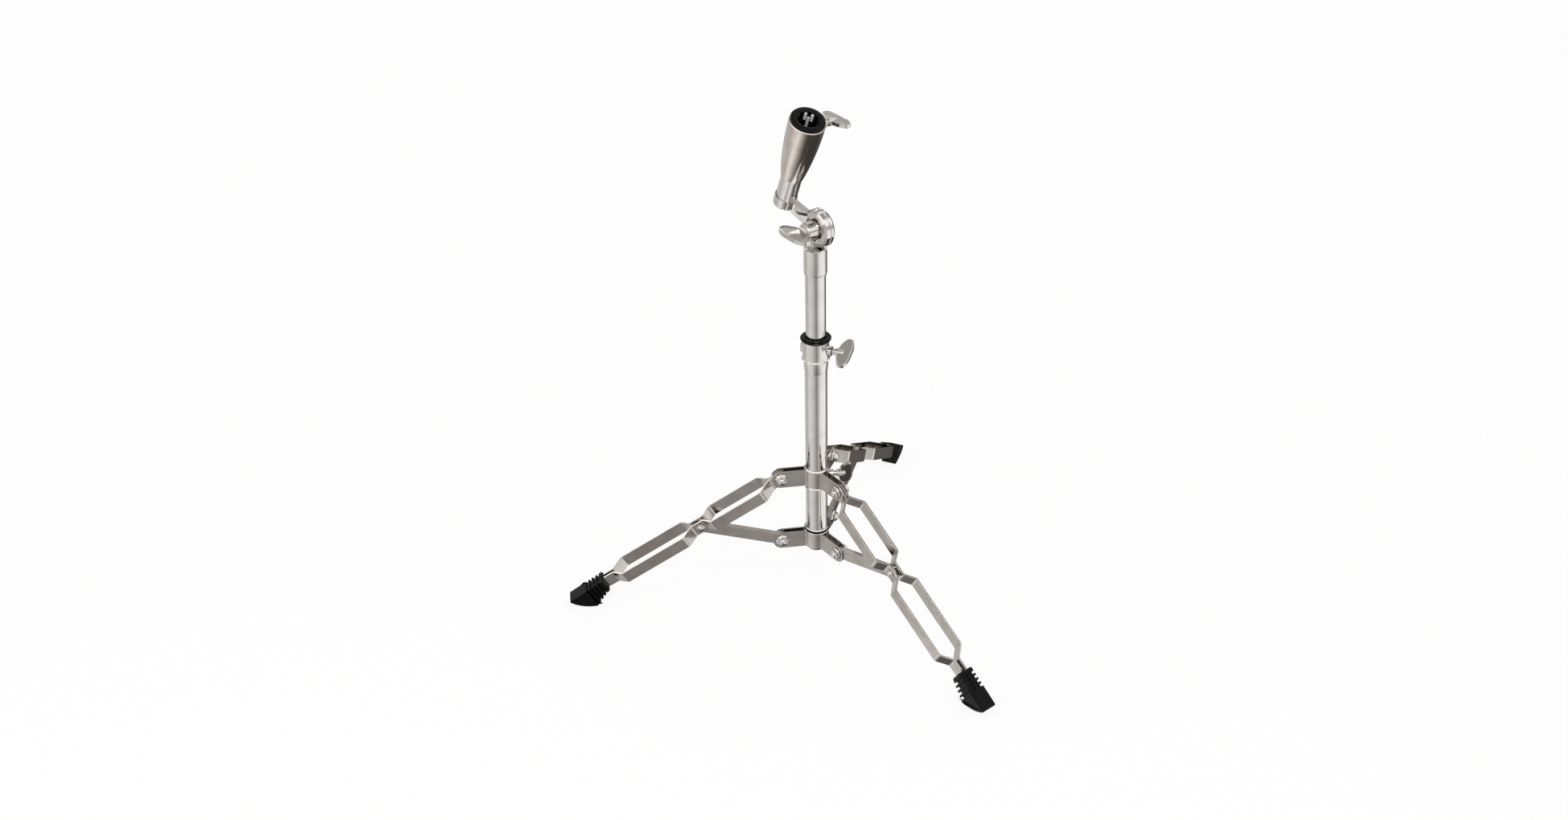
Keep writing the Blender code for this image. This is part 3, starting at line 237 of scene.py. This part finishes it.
def makeLowerTube(d):
    inner = d["radius"] - d["wall"]
    makeTurned("lowerTubeShell", "base", tubeChrome, [
        (d["neck"] - d["wall"], d["top"]), (d["neck"], d["top"]), (d["neck"], d["bellTop"]),
        (d["bell"] - 0.0004, d["bellTop"]), (d["bell"], d["bellTop"] - 0.0004),
        (d["bell"], d["bellTop"] - 0.0026), (d["radius"] + 0.0002, d["bellBottom"] - 0.0010),
        (d["radius"], d["bellBottom"] - 0.0034),
        (d["radius"], d["bottom"] + 0.0004), (d["radius"] - 0.0004, d["bottom"]), (inner, d["bottom"]),
        (inner, d["bellBottom"] - 0.0020), (d["neck"] - d["wall"], d["bellTop"] - 0.0040),
    ], column, "lower_tube")


upperTube = {"radius": 0.0127, "wall": 0.0012, "bottom": 0.168826, "top": 0.508826}


def makeUpperTube(d):
    inner = d["radius"] - d["wall"]
    makeTurned("upperTubeShell", "upper_column", tubeChrome, [
        (inner, d["top"]), (d["radius"] - 0.0003, d["top"]), (d["radius"], d["top"] - 0.0003),
        (d["radius"], d["bottom"] + 0.0003), (d["radius"] - 0.0003, d["bottom"]), (inner, d["bottom"]),
    ], column, "upper_tube")


# Height bush: a flange in two chamfered steps, and a sleeve below it
heightBush = {"flange": 0.01965, "bottom": 0.384826, "top": 0.389626, "step": 0.0172, "bore": 0.0130,
              "sleeve": 0.0137, "sleeveLong": 0.0236}


def makeHeightBush(d):
    makeTurned("heightBushFlange", "base", blackNylon, [
        (d["bore"], d["top"] - 0.0014), (d["bore"] + 0.0008, d["top"] - 0.0009),
        (d["bore"] + 0.0014, d["top"] - 0.0002), (d["step"] - 0.0010, d["top"]),
        (d["step"], d["top"] - 0.0010), (d["step"] + 0.0001, d["top"] - 0.0018),
        (d["flange"] - 0.0011, d["top"] - 0.0019), (d["flange"], d["top"] - 0.0030),
        (d["flange"] - 0.0003, d["bottom"] + 0.0008),
        (d["flange"] - 0.0011, d["bottom"]), (d["sleeve"], d["bottom"]),
        (d["sleeve"], d["bottom"] - d["sleeveLong"]), (d["bore"], d["bottom"] - d["sleeveLong"]),
    ], column, "height_bush")


# Wing bolts: a turned hub and screw with two cast wings, each a web inside a thick rim
smallWing = {"screw": 0.0029, "neck": 0.0036, "hub": 0.0050, "foot": 0.0040, "length": 0.0120,
             "span": 0.0480, "depth": 0.0210, "thick": 0.0044, "rim": 0.0023, "sunk": 0.0013, "round": 0.0008}
largeWing = {"screw": 0.0040, "neck": 0.0130, "hub": 0.0130, "foot": 0.0, "length": 0.0190,
             "span": 0.0570, "depth": 0.0280, "thick": 0.0052, "rim": 0.0034, "sunk": 0.0016, "round": 0.0011}


def makeWingBolt(pieceName, body, node, place, d, start, reach):
    bm = bmesh.new()
    top = d["foot"] + d["length"]
    hub, neck, screw = d["hub"], d["neck"], d["screw"]
    profile = [(0, top), (hub * 0.50, top - 0.0001), (hub * 0.72, top - 0.0006), (hub * 0.80, top - 0.0016),
               (hub * 0.86, d["foot"] + d["length"] * 0.8), (hub, d["foot"] + d["length"] * 0.1)]
    if d["foot"]:
        profile += [(hub * 0.92, d["foot"] + 0.0003), (neck, d["foot"])]
    profile += [(neck, 0.0004), (neck - 0.0004, 0), (screw, 0)]
    pitch = 0.00125
    turns = int((reach - 0.0012) / pitch)
    for k in range(turns):  # screw thread, drawn as rings a pitch apart
        profile += [(screw, -pitch * k), (screw - 0.0004, -pitch * (k + 0.5))]
    profile += [(screw, -pitch * turns), (screw - 0.0006, -reach), (0, -reach)]
    spinProfile(bm, profile, Matrix(), steps=40)
    half, depth, root = d["span"] / 2, d["depth"], hub * (1.0 if d["foot"] else 0.5)
    right = [(root * 0.6, start), (root, start + depth * 0.14),
             (root + (half - root) * 0.45, start + depth * 0.22), (half - depth * 0.10, start + depth * 0.42),
             (half, start + depth * 0.54), (half - depth * 0.04, start + depth * 0.80),
             (half * 0.72, start + depth * 0.93), (half * 0.40, start + depth)]
    outline = [bm.verts.new((x, d["thick"] / 2, z)) for x, z in right]
    outline += [bm.verts.new((-x, d["thick"] / 2, z)) for x, z in reversed(right)]
    bm.faces.new(outline)
    bmesh.ops.bevel(bm, geom=outline, offset=depth * 0.07, segments=3, profile=0.5, affect="VERTICES",
                    material=-1, clamp_overlap=True)
    web = max((f for f in bm.faces if not f.tag), key=lambda f: f.calc_area())
    back = bmesh.ops.extrude_face_region(bm, geom=[web])
    moved = [g for g in back["geom"] if isinstance(g, bmesh.types.BMVert)]
    bmesh.ops.translate(bm, verts=moved, vec=(0, -d["thick"], 0))
    wings = [f for f in bm.faces if not f.tag]
    bmesh.ops.recalc_face_normals(bm, faces=wings)
    sides = [f for f in wings if abs(f.normal.y) > 0.99]
    for side in sides:
        bmesh.ops.inset_region(bm, faces=[side], thickness=d["rim"], depth=-d["sunk"], use_even_offset=True)
    rims = [e for e in bm.edges if not any(f.tag for f in e.link_faces)
            and e.calc_face_angle(0) > math.radians(35)]
    bmesh.ops.bevel(bm, geom=rims, offset=d["round"], segments=3, profile=0.5, affect="EDGES", material=-1,
                    clamp_overlap=True)
    bm.transform(place)
    finishPiece(bm, pieceName, body, wingChrome, node)


def makeWingBolts():
    makeWingBolt("heightWingBolt", "height_bolt", "height_wing_bolt",
                 column @ shift(0, 0, 0.370526) @ turnZ(-27.5) @ shift(0.0216, 0, 0) @ turnY(90) @ turnZ(105),
                 smallWing, start=0.0040, reach=0.0061)
    makeWingBolt("spreadWingBolt", "spread_bolt", "spread_wing_bolt",
                 upperCollar @ shift(0.0227, 0, 0) @ turnY(90) @ turnZ(25), smallWing,
                 start=0.0040, reach=0.0081)
    makeWingBolt("tilterWingBolt", "tilter_bolt", "tilter_wing_bolt",
                 arm @ shift(0, 0.0016, 0) @ turnX(90) @ turnZ(24), largeWing,
                 start=0.0133, reach=0.0188)
    makeWingBolt("socketWingBolt", "socket_bolt", "socket_wing_bolt",
                 pipeSeat @ shift(0, 0.02655, 0.1109) @ turnX(-90) @ turnZ(-21), smallWing,
                 start=0.0040, reach=0.01295)


# Collars: three pressed plates to each, with bright rings and a black seal on the tube beside them
collarRing = {"bore": 0.0146, "outer": 0.0162, "half": 0.0125, "above": 0.0022, "below": 0.0024,
              "lip": 0.0169, "seal": 0.0168, "sealEnd": 0.0163, "sealTop": 0.0152, "bead": 0.0157}


def makeCollars(d):
    for which, body in (("lower", "base"), ("upper", "upper_collar")):
        for k in (1, 2, 3):
            dressNode(f"{which}_collar_plate_{k}", f"{which}CollarPlate{k}", body, plateChrome,
                      0.0004, smooth=24)
    dressNode("spread_boss", "spreadBossTurned", "upper_collar", castChrome, 0.0004)
    low, high = d["half"] + 0.0001, d["half"] + d["above"]
    makeTurned("collarRingAbove", "upper_collar", tubeChrome, [
        (d["bore"], low), (d["outer"], low), (d["outer"], low + 0.0004), (d["bore"] + 0.0004, high),
        (d["bore"], high),
    ], upperCollar)
    low, high = -d["half"] - d["below"], -d["half"] - 0.0001
    makeTurned("collarRingBelow", "upper_collar", tubeChrome, [
        (d["bore"], low), (d["outer"] - 0.0006, low), (d["outer"], low + 0.0005),
        (d["outer"] - 0.0002, low + 0.0008), (d["bore"] + 0.0003, high), (d["bore"], high),
    ], upperCollar)
    low = d["half"] + 0.0010
    makeTurned("lowerCollarSeal", "base", blackNylon, [
        (d["bore"], low), (d["sealEnd"], low), (d["seal"], low + 0.0006), (d["seal"], low + 0.0020),
        (d["sealEnd"], low + 0.0028), (d["sealTop"], low + 0.0030), (d["bore"], low + 0.0026),
    ], lowerCollar, "lower_collar_ring")
    low, high = d["half"] + 0.0001, d["half"] + 0.0009
    makeTurned("lowerCollarLip", "base", tubeChrome, [
        (d["bore"], low), (d["lip"], low), (d["lip"], low + 0.0002), (d["sealEnd"], high), (d["bore"], high),
    ], lowerCollar)
    low, high = d["half"] + 0.0041, d["half"] + 0.0057
    makeTurned("lowerTubeBead", "base", tubeChrome, [
        (d["bore"], low), (d["bead"], low), (d["bead"], low + 0.0003), (d["bore"] + 0.0001, high),
        (d["bore"], high),
    ], lowerCollar)


# Clamp collar: its casting, with a rolled lip round the foot
clamp = {"bore": 0.0154, "band": 0.0174, "foot": 0.3564}


def makeClamp(d):
    dressNode("clamp_collar", "clampCollarBand", "base", castChrome, 0.0005, 3)
    low, out, high = d["foot"], d["band"] + 0.0006, d["foot"] + 0.0021
    makeTurned("clampCollarLip", "base", tubeChrome, [
        (d["bore"], low), (d["band"] - 0.0004, low), (out, low + 0.0009), (out, low + 0.0012),
        (d["band"] - 0.0001, high), (d["bore"], high),
    ], column)


# Pivot bolts: a sloped flange on each side, under a hex head or a domed nut. The points of a dome are
# radii, and depths below its tip
pivotBolt = {"shank": 0.0030, "washer": 0.0086, "washerHigh": 0.0020, "across": 0.0142, "round": 0.0007,
             "rise": 0.0076, "face": 0.0056, "nutSide": {"left": 1, "front": -1, "back": -1},
             "nutHigh": 0.0048, "nutRim": 0.0052,
             "nutDome": ((0, 0), (0.0019, 0.0003), (0.0036, 0.0010), (0.0047, 0.0021), (0.0052, 0.0034)),
             "headHigh": 0.0056, "headRim": 0.0060,
             "headDome": ((0, 0), (0.0026, 0.0003), (0.0045, 0.0010), (0.0056, 0.0019))}


def makePivotBolts(d):
    face, washer = d["face"], d["washer"]
    low, tip = face + d["washerHigh"], face + d["rise"]
    for which, collar, body in (("upper", upperCollar, "upper_collar"), ("lower", lowerCollar, "base")):
        for leg, turn in legTurns.items():
            bm = bmesh.new()
            seat = collar @ turnZ(turn) @ shift(pivotOut, 0, 0) @ turnX(-90)
            spinProfile(bm, [(0, face), (d["shank"], face), (d["shank"], -face), (0, -face)], seat, steps=24)
            for side in (1, -1):
                out = seat if side == 1 else seat @ turnX(180)
                spinProfile(bm, [(0, face), (washer - 0.0002, face), (washer, face + 0.0003),
                                 (washer - 0.0002, face + 0.0006), (washer - 0.0017, low), (0, low)],
                            out, steps=48)
                end = "nut" if d["nutSide"][leg] == side else "head"
                high = face + d[end + "High"]
                hexagon = bmesh.ops.create_cone(bm, cap_ends=True, segments=6, radius1=d["across"] / 2,
                                                radius2=d["across"] / 2, depth=high - low,
                                                matrix=out @ shift(0, 0, (low + high) / 2) @ turnZ(12))
                rims = {e for v in hexagon["verts"] for e in v.link_edges}
                bmesh.ops.bevel(bm, geom=list(rims), offset=d["round"], segments=3, profile=0.5,
                                affect="EDGES", material=-1)
                for f in bm.faces:
                    f.tag = True
                dome = [(radius, tip - depth) for radius, depth in d[end + "Dome"]]
                spinProfile(bm, [*dome, (d[end + "Rim"], low)], out, steps=40)
            finishPiece(bm, f"{which}PivotBolt_{leg}", body, castChrome, f"{which}_pivot_rivet_{leg}")


# Mid rivets: a low dome over a rolled flange
midRivet = {"along": 0.1275, "inner": 0.0036, "thick": 0.0026, "head": 0.0054, "rise": 0.0034,
            "shank": 0.0030}


def makeMidRivets(d):
    for leg, turn in legTurns.items():
        pivot = upperCollar @ turnZ(turn) @ shift(pivotOut, 0, 0) @ turnY(legSlope)
        for letter, side in (("a", 1), ("b", -1)):
            bm = bmesh.new()
            seat = pivot @ shift(d["along"], 0, 0) @ turnZ(90 - 90 * side) @ turnX(-90)
            low = d["inner"] + d["thick"] + 0.0003
            spinProfile(bm, [(0, low + d["rise"]), (0.0012, low + d["rise"] - 0.0001),
                             (0.0026, low + d["rise"] - 0.0006), (0.0035, low + 0.0018),
                             (0.0039, low + 0.0010), (0.0050, low + 0.0008), (d["head"], low + 0.0004),
                             (d["head"] - 0.0003, low), (d["shank"], low), (d["shank"], d["inner"]),
                             (0, d["inner"])], seat, steps=40)
            finishPiece(bm, f"midRivet_{leg}_{letter}", f"leg_{leg}", castChrome, f"mid_rivet_{leg}_{letter}")


def makeLegs():
    for leg in legTurns:
        for letter in "ab":
            dressNode(f"leg_strip_{leg}_{letter}", f"legStrip_{leg}_{letter}", f"leg_{leg}",
                      stripChrome, 0.0004)
        dressNode(f"brace_{leg}", f"braceChannel_{leg}", f"{leg}_brace", stripChrome, 0.0004)


# Feet: the toe's side walls are sunk inside a raised border, and a fine seam runs along the top
foot = {"width": 0.0224, "toeFrom": 0.3075, "border": 0.0022, "sunk": 0.0009, "edge": 0.0004, "heel": -0.014,
        "seam": 0.0006, "seamLong": 0.0290, "seamAt": (0.2953, 0, 0.0080), "seamSlope": 2.4}


def makeFeet(d):
    for leg, turn in legTurns.items():
        pivot = upperCollar @ turnZ(turn) @ shift(pivotOut, 0, 0) @ turnY(legSlope)
        bm = copyNode(f"foot_{leg}")
        bm.transform(pivot.inverted())
        for f in bm.faces:
            f.normal_update()
        walls = [f for f in bm.faces if abs(f.normal.y) > 0.98 and f.calc_center_median().x > d["toeFrom"]
                 and abs(abs(f.calc_center_median().y) - d["width"] / 2) < 0.0002]
        softenEdges(bm, d["edge"], 2, 40, keep=lambda e: max(v.co.z for v in e.verts) > d["heel"]
                    and not any(f in walls for f in e.link_faces))
        for side in (1, -1):
            wall = [f for f in bm.faces if f.normal.y * side > 0.98
                    and f.calc_center_median().x > d["toeFrom"]
                    and abs(f.calc_center_median().y - side * d["width"] / 2) < 0.0003]
            if wall:
                wall = [max(wall, key=lambda f: f.calc_area())]
                for step, depth in ((d["border"], 0), (0.0005, -d["sunk"])):
                    bmesh.ops.inset_region(bm, faces=wall, thickness=step, depth=depth, use_even_offset=True)
        bmesh.ops.create_cone(bm, cap_ends=True, segments=8, radius1=d["seam"], radius2=d["seam"],
                              depth=d["seamLong"], matrix=shift(*d["seamAt"]) @ turnY(90 + d["seamSlope"]))
        bm.transform(pivot)
        finishPiece(bm, f"rubberFoot_{leg}", f"leg_{leg}", blackRubber, f"foot_{leg}")


# Tilter: castings with rounded edges, a toothed seam and its nut
tilter = {"seam": 0.0070, "outer": 0.0232, "inner": 0.0195, "teeth": 90, "tooth": 0.0005, "thick": 0.0014}


def makeTilter(d):
    dressNode("tilter_base", "tilterBaseCasting", "upper_column", castChrome, 0.0005, 3, 32)
    dressNode("tilter_arm", "tilterArmCasting", "socket", castChrome, 0.0006, 3, 32)
    dressNode("tilter_nut", "tilterHexNut", "upper_column", castChrome, 0.0006, 3)
    bm = bmesh.new()
    made = bmesh.ops.create_circle(bm, cap_ends=False, segments=d["teeth"] * 2, radius=d["outer"])
    for k, v in enumerate(made["verts"]):
        if k % 2:
            v.co *= 1 - d["tooth"] / d["outer"]
    ring = bmesh.ops.extrude_edge_only(bm, edges=bm.edges[:])
    back = [g for g in ring["geom"] if isinstance(g, bmesh.types.BMVert)]
    bmesh.ops.translate(bm, verts=back, vec=(0, 0, d["thick"]))
    for rim in (made["verts"], back):
        edges = [e for e in bm.edges if all(v in rim for v in e.verts)]
        inner = bmesh.ops.extrude_edge_only(bm, edges=edges)
        for v in (g for g in inner["geom"] if isinstance(g, bmesh.types.BMVert)):
            v.co.xy *= d["inner"] / v.co.xy.length
    loops = [e for e in bm.edges if e.is_boundary]
    bmesh.ops.bridge_loops(bm, edges=loops)
    bm.transform(hinge @ shift(0, d["seam"] + d["thick"] / 2, 0) @ turnX(90))
    finishPiece(bm, "tilterToothRing", "upper_column", castChrome, smooth=20)


# Socket: pipe, flared shell with its pressed key, and boss
socket = {"pipe": 0.0127, "wall": 0.0012, "pipeLow": -0.0037, "pipeHigh": 0.0480,
          "coneLow": 0.0383, "coneLength": 0.0841, "coneFoot": 0.0140, "coneRim": 0.02175, "flare": 2.1,
          "keyWide": 0.0074, "keyOut": 0.0030, "keyOnCone": 0.0019, "keyLength": 0.0400,
          "keyLow": 0.0063, "keyRound": 0.0029}


def coneRadius(height):
    share = min(1, max(0, (height - socket["coneLow"]) / socket["coneLength"]))
    low, rim = socket["coneFoot"], socket["coneRim"]
    return low + (rim - low) * (1 - (1 - share) ** socket["flare"])


def makeSocket(d):
    bm = bmesh.new()
    inner = d["pipe"] - d["wall"]
    spinProfile(bm, [(inner, d["pipeHigh"]), (d["pipe"], d["pipeHigh"]), (d["pipe"], d["pipeLow"]),
                     (inner, d["pipeLow"])], pipeSeat, closed=True)
    key = addBlock(bm, (d["pipe"] - 0.0006, -d["keyWide"] / 2, d["keyLow"]),
                   (d["pipe"] + d["keyOut"], d["keyWide"] / 2, d["coneLow"] - 0.0003), keySeat)
    outer = [v for v in key if (keySeat.inverted() @ v.co).x > d["pipe"] + 0.001]
    ridge = [e for e in {e for v in outer for e in v.link_edges} if e.calc_length() > 0.02]
    bmesh.ops.bevel(bm, geom=ridge, offset=d["keyRound"], segments=1, profile=0.5, affect="EDGES",
                    material=-1)
    finishPiece(bm, "socketPipeKeyed", "socket", tubeChrome, "socket_pipe")

    top = d["coneLow"] + d["coneLength"]
    heights = [top - d["coneLength"] * k / 24 for k in range(25)]
    shell = [(coneRadius(z), z) for z in heights]
    shell[0] = (d["coneRim"] - 0.0003, top)
    shell.insert(1, (d["coneRim"], top - 0.0004))
    shell[-1] = (d["coneFoot"], heights[-1] + 0.0003)
    shell += [(d["coneFoot"] - 0.0003, heights[-1])]
    bore = [(max(coneRadius(z) - 0.0010, d["pipe"] + 0.0003), z) for z in reversed(heights)]
    makeTurned("socketFlaredShell", "socket", shellChrome, shell + bore, pipeSeat, "socket_cone")
    rim = d["coneRim"]
    makeTurned("socketShellRim", "socket", tubeChrome, [
        (rim - 0.0012, top - 0.0012), (rim + 0.0002, top - 0.0012), (rim + 0.0004, top - 0.0009),
        (rim + 0.0003, top - 0.0005), (rim - 0.0005, top + 0.0002), (rim - 0.0012, top + 0.0002),
    ], pipeSeat)

    bm = bmesh.new()
    tip = d["coneLow"] + d["keyLength"]
    lines = []
    for share in (0, 0.15, 0.3, 0.45, 0.6, 0.75, 0.88):  # it narrows and sinks into the shell
        z = d["coneLow"] + d["keyLength"] * share
        skin, half = coneRadius(z), d["keyWide"] / 2 * (1 - 0.7 * share)
        out = skin + d["keyOnCone"] * (1 - 0.6 * share)
        sunk, flat = skin - 0.0007, half * 0.22
        section = ((sunk, -half), (out, -flat), (out, flat), (sunk, half))
        lines.append([bm.verts.new((x, y, z)) for x, y in section])
    point = bm.verts.new((coneRadius(tip) - 0.0002, 0, tip))
    loops = [[bm.edges.new((a, b)) for a, b in zip(line, line[1:] + line[:1])] for line in lines]
    for a, b in zip(loops, loops[1:]):
        bmesh.ops.bridge_loops(bm, edges=a + b)
    bm.faces.new(list(reversed(lines[0])))
    for a, b in zip(lines[-1], lines[-1][1:] + lines[-1][:1]):
        bm.faces.new((a, b, point))
    bm.transform(keySeat)
    finishPiece(bm, "socketShellKey", "socket", castChrome)
    dressNode("socket_boss", "socketBossTurned", "socket", castChrome, 0.0004)


# Liner: a flange and a deep bore, with three upright ribs on each of two sides, pale as a painted highlight
# in the dark bore
liner = {"flange": 0.0207, "low": 0.1227, "high": 0.1259, "bore": 0.0130, "bottom": 0.0684,
         "bottomOut": 0.0166, "skin": 0.0013, "skinAt": (0.1224, 0.1089, 0.0954, 0.0819), "ribRound": 0.0009,
         "ribWide": 0.0035, "ribHigh": 0.0014, "ribSides": (137.3, 317.3),
         "ribs": ((-19, 0.1132, 0.1236), (0, 0.0970, 0.1182), (19, 0.1132, 0.1236))}


def makeLiner(d):
    body = [(coneRadius(z) - d["skin"], z) for z in d["skinAt"]]
    makeTurned("socketLiner", "socket", blackNylon, [
        (d["bore"], d["high"] - 0.0022), (d["bore"] + 0.0003, d["high"] - 0.0010),
        (d["bore"] + 0.0010, d["high"] - 0.0002), (d["bore"] + 0.0018, d["high"]),
        (d["flange"] - 0.0014, d["high"]), (d["flange"] - 0.0006, d["high"] - 0.0003),
        (d["flange"] - 0.0001, d["high"] - 0.0010), (d["flange"], d["low"] + 0.0004),
        (d["flange"] - 0.0004, d["low"]), (body[0][0], d["low"]), *body,
        (d["bottomOut"], d["bottom"]), (d["bore"], d["bottom"]),
    ], pipeSeat, "socket_insert")
    # The ribs' pale finish paints the bright highlight bars seen down in the bore
    bm = bmesh.new()
    for side in d["ribSides"]:
        for turn, low, high in d["ribs"]:
            addBlock(bm, (d["bore"] - d["ribHigh"], -d["ribWide"] / 2, low),
                     (d["bore"] + 0.0006, d["ribWide"] / 2, high), pipeSeat @ turnZ(side + turn))
    softenEdges(bm, d["ribRound"], 3)
    finishPiece(bm, "socketRibsPaintedHighlight", "socket", ribHighlightPale)


makeLowerTube(lowerTube)
makeUpperTube(upperTube)
makeHeightBush(heightBush)
makeClamp(clamp)
print("column made")
makeCollars(collarRing)
makePivotBolts(pivotBolt)
makeMidRivets(midRivet)
makeLegs()
makeFeet(foot)
print("tripod made")
makeTilter(tilter)
makeSocket(socket)
makeLiner(liner)
makeWingBolts()
print("tilter and socket made")

# The hidden plugs keep their solids
for nodeName in ("guide_plug", "lower_tube_end_cap"):
    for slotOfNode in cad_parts[nodeName].material_slots:
        slotOfNode.material = blackNylon[0]


# Studio: a pale floor, a soft room and two lamps
studio = {"floor": "#F4F4F4", "floorRadius": 60.0, "floorAt": -0.0002, "lift": 0.86, "glow": 1.02,
          "room": 1.25, "warmth": 0.05, "horizon": (-0.10, 0.10), "overhead": (-0.15, 0.15),
          "below": (-0.70, -0.645), "aim": (0.05, 0, 0.3),
          "key": (0.0, -1.0, 1.95, 0.9, 0.25, 5.0), "fill": (-1.6, -0.9, 0.9, 0.3, 0.3, 1.2)}


def makeFloor(d):
    bm = bmesh.new()
    bmesh.ops.create_circle(bm, cap_ends=True, segments=96, radius=d["floorRadius"],
                            matrix=shift(0, 0, d["floorAt"]))
    mesh = bpy.data.meshes.new("studioFloor")
    bm.to_mesh(mesh)
    bm.free()
    material = bpy.data.materials.new("paleStudioPaper")
    material.use_nodes = True
    tree = material.node_tree
    tree.nodes.clear()
    rays = addNode(tree, "ShaderNodeLightPath")
    either = addNode(tree, "ShaderNodeMath",
                     {0: rays.outputs["Is Camera Ray"], 1: rays.outputs["Is Glossy Ray"]},
                     operation="MAXIMUM")
    seen = addNode(tree, "ShaderNodeMath", {0: either.outputs[0], 1: rays.outputs["Is Transmission Ray"]},
                   operation="MAXIMUM")
    share = addNode(tree, "ShaderNodeMath", {0: seen.outputs[0]}, operation="MULTIPLY")
    share.inputs[1].default_value = d["lift"]
    paper = addNode(tree, "ShaderNodeBsdfDiffuse", Color=(*fromHex(d["floor"]), 1))
    glow = addNode(tree, "ShaderNodeEmission", Color=(1, 1, 1, 1), Strength=d["glow"])
    mix = addNode(tree, "ShaderNodeMixShader",
                  {0: share.outputs[0], 1: paper.outputs[0], 2: glow.outputs[0]})
    out = addNode(tree, "ShaderNodeOutputMaterial")
    tree.links.new(mix.outputs[0], out.inputs["Surface"])
    mesh.materials.append(material)
    floor = bpy.data.objects.new("studioFloor", mesh)
    bpy.context.collection.objects.link(floor)
    floor.visible_glossy = False  # the metal shows the room's panels below the horizon


# Brightness of the room. Its walls are set by heading, as a share of a turn from behind the stand
# round by its left: a dull left wall, a softbox ahead on the left, a dark gap straight ahead, a bright
# softbox on the right, dark behind
panels = ((0.00, 0.15), (0.05, 0.55), (0.20, 0.50), (0.26, 0.75), (0.38, 0.65), (0.50, 0.25), (0.60, 0.90),
          (0.75, 1.00), (0.84, 0.15), (0.90, 0.05))
# The ceiling in front of the stand and behind it, by the sine of the elevation
ceilingAhead = ((0.0, 0.50), (0.30, 0.45), (0.42, 1.10), (0.72, 1.10), (0.84, 0.38), (1.0, 0.38))
ceilingBehind = ((0.0, 0.48), (0.23, 0.50), (0.27, 1.50), (0.355, 1.50), (0.38, 0.44), (0.64, 0.38),
                 (0.68, 1.0), (0.76, 1.0), (0.80, 0.34), (1.0, 0.34))
# Underneath, from the left to the right
underneath = ((0.0, 0.95), (0.20, 0.85), (0.28, 0.50), (0.37, 0.27), (0.45, 0.12), (0.52, 0.06), (1.0, 0.04))


def addRamp(tree, source, stops):
    band = addNode(tree, "ShaderNodeValToRGB", {"Fac": source})
    while len(band.color_ramp.elements) < len(stops):
        band.color_ramp.elements.new(0.5)
    for stop, (where, level) in zip(band.color_ramp.elements, stops):
        warm = studio["warmth"] * max(0, 1 - level)  # the darker parts are warmer
        stop.position = where
        stop.color = (level * (1 + warm), level, level * (1 - warm), 1)
    return band.outputs["Color"]


def addBlend(tree, source, low, high, first, second):
    share = addNode(tree, "ShaderNodeMapRange", {"Value": source})
    share.inputs["From Min"].default_value = low
    share.inputs["From Max"].default_value = high
    return addNode(tree, "ShaderNodeMix", {"Factor": share.outputs[0], 6: first, 7: second},
                   data_type="RGBA").outputs[2]


def makeRoom(d):
    world = bpy.data.worlds.new("softRoom")
    bpy.context.scene.world = world
    world.use_nodes = True
    tree = world.node_tree
    tree.nodes.clear()
    look = addNode(tree, "ShaderNodeTexCoord")
    axes = addNode(tree, "ShaderNodeSeparateXYZ", {0: look.outputs["Generated"]})
    ahead = addNode(tree, "ShaderNodeMath", {0: axes.outputs["Y"]}, operation="MULTIPLY")
    ahead.inputs[1].default_value = -1
    heading = addNode(tree, "ShaderNodeMath", {0: axes.outputs["X"], 1: ahead.outputs[0]},
                      operation="ARCTAN2")
    turn = addNode(tree, "ShaderNodeMapRange", {"Value": heading.outputs[0]})
    turn.inputs["From Min"].default_value = -math.pi
    turn.inputs["From Max"].default_value = math.pi
    walls = addRamp(tree, turn.outputs[0], panels)
    sides = addNode(tree, "ShaderNodeMapRange", {"Value": axes.outputs["X"]})
    sides.inputs["From Min"].default_value = -1
    below = addRamp(tree, sides.outputs[0], underneath)
    under = addBlend(tree, axes.outputs["Z"], *d["below"], below, walls)
    front = addRamp(tree, axes.outputs["Z"], ceilingAhead)
    back = addRamp(tree, axes.outputs["Z"], ceilingBehind)
    ceiling = addBlend(tree, axes.outputs["Y"], *d["overhead"], front, back)
    room = addBlend(tree, axes.outputs["Z"], *d["horizon"], under, ceiling)
    light = addNode(tree, "ShaderNodeBackground", {"Color": room}, Strength=d["room"])
    out = addNode(tree, "ShaderNodeOutputWorld")
    tree.links.new(light.outputs[0], out.inputs["Surface"])


def addLamp(name, x, y, z, wide, high, power):
    lamp = bpy.data.lights.new(name, "AREA")
    lamp.shape = "RECTANGLE"
    lamp.size, lamp.size_y = wide, high
    lamp.energy = power
    holder = bpy.data.objects.new(name, lamp)
    holder.location = (x, y, z)
    aim = Vector(studio["aim"]) - holder.location
    holder.rotation_euler = aim.to_track_quat("-Z", "Y").to_euler()
    holder.visible_camera = False
    bpy.context.collection.objects.link(holder)


# Camera as in the photograph
camera = {"place": (-0.16704, -1.65477, 1.36250), "turns": (57.0792, 0.9234, -7.6728), "lens": 35.66}


def makeCamera(d):
    data = bpy.data.cameras.new("photoCamera")
    data.sensor_fit = "HORIZONTAL"
    data.sensor_width = 36
    data.lens = d["lens"]
    data.clip_start = 0.05
    holder = bpy.data.objects.new("photoCamera", data)
    holder.location = d["place"]
    holder.rotation_euler = [math.radians(a) for a in d["turns"]]
    bpy.context.collection.objects.link(holder)
    bpy.context.scene.camera = holder


makeFloor(studio)
makeRoom(studio)
for lampName in ("key", "fill"):
    addLamp(lampName + "Lamp", *studio[lampName])
makeCamera(camera)
bpy.context.scene.view_settings.view_transform = "Standard"
print("studio made")
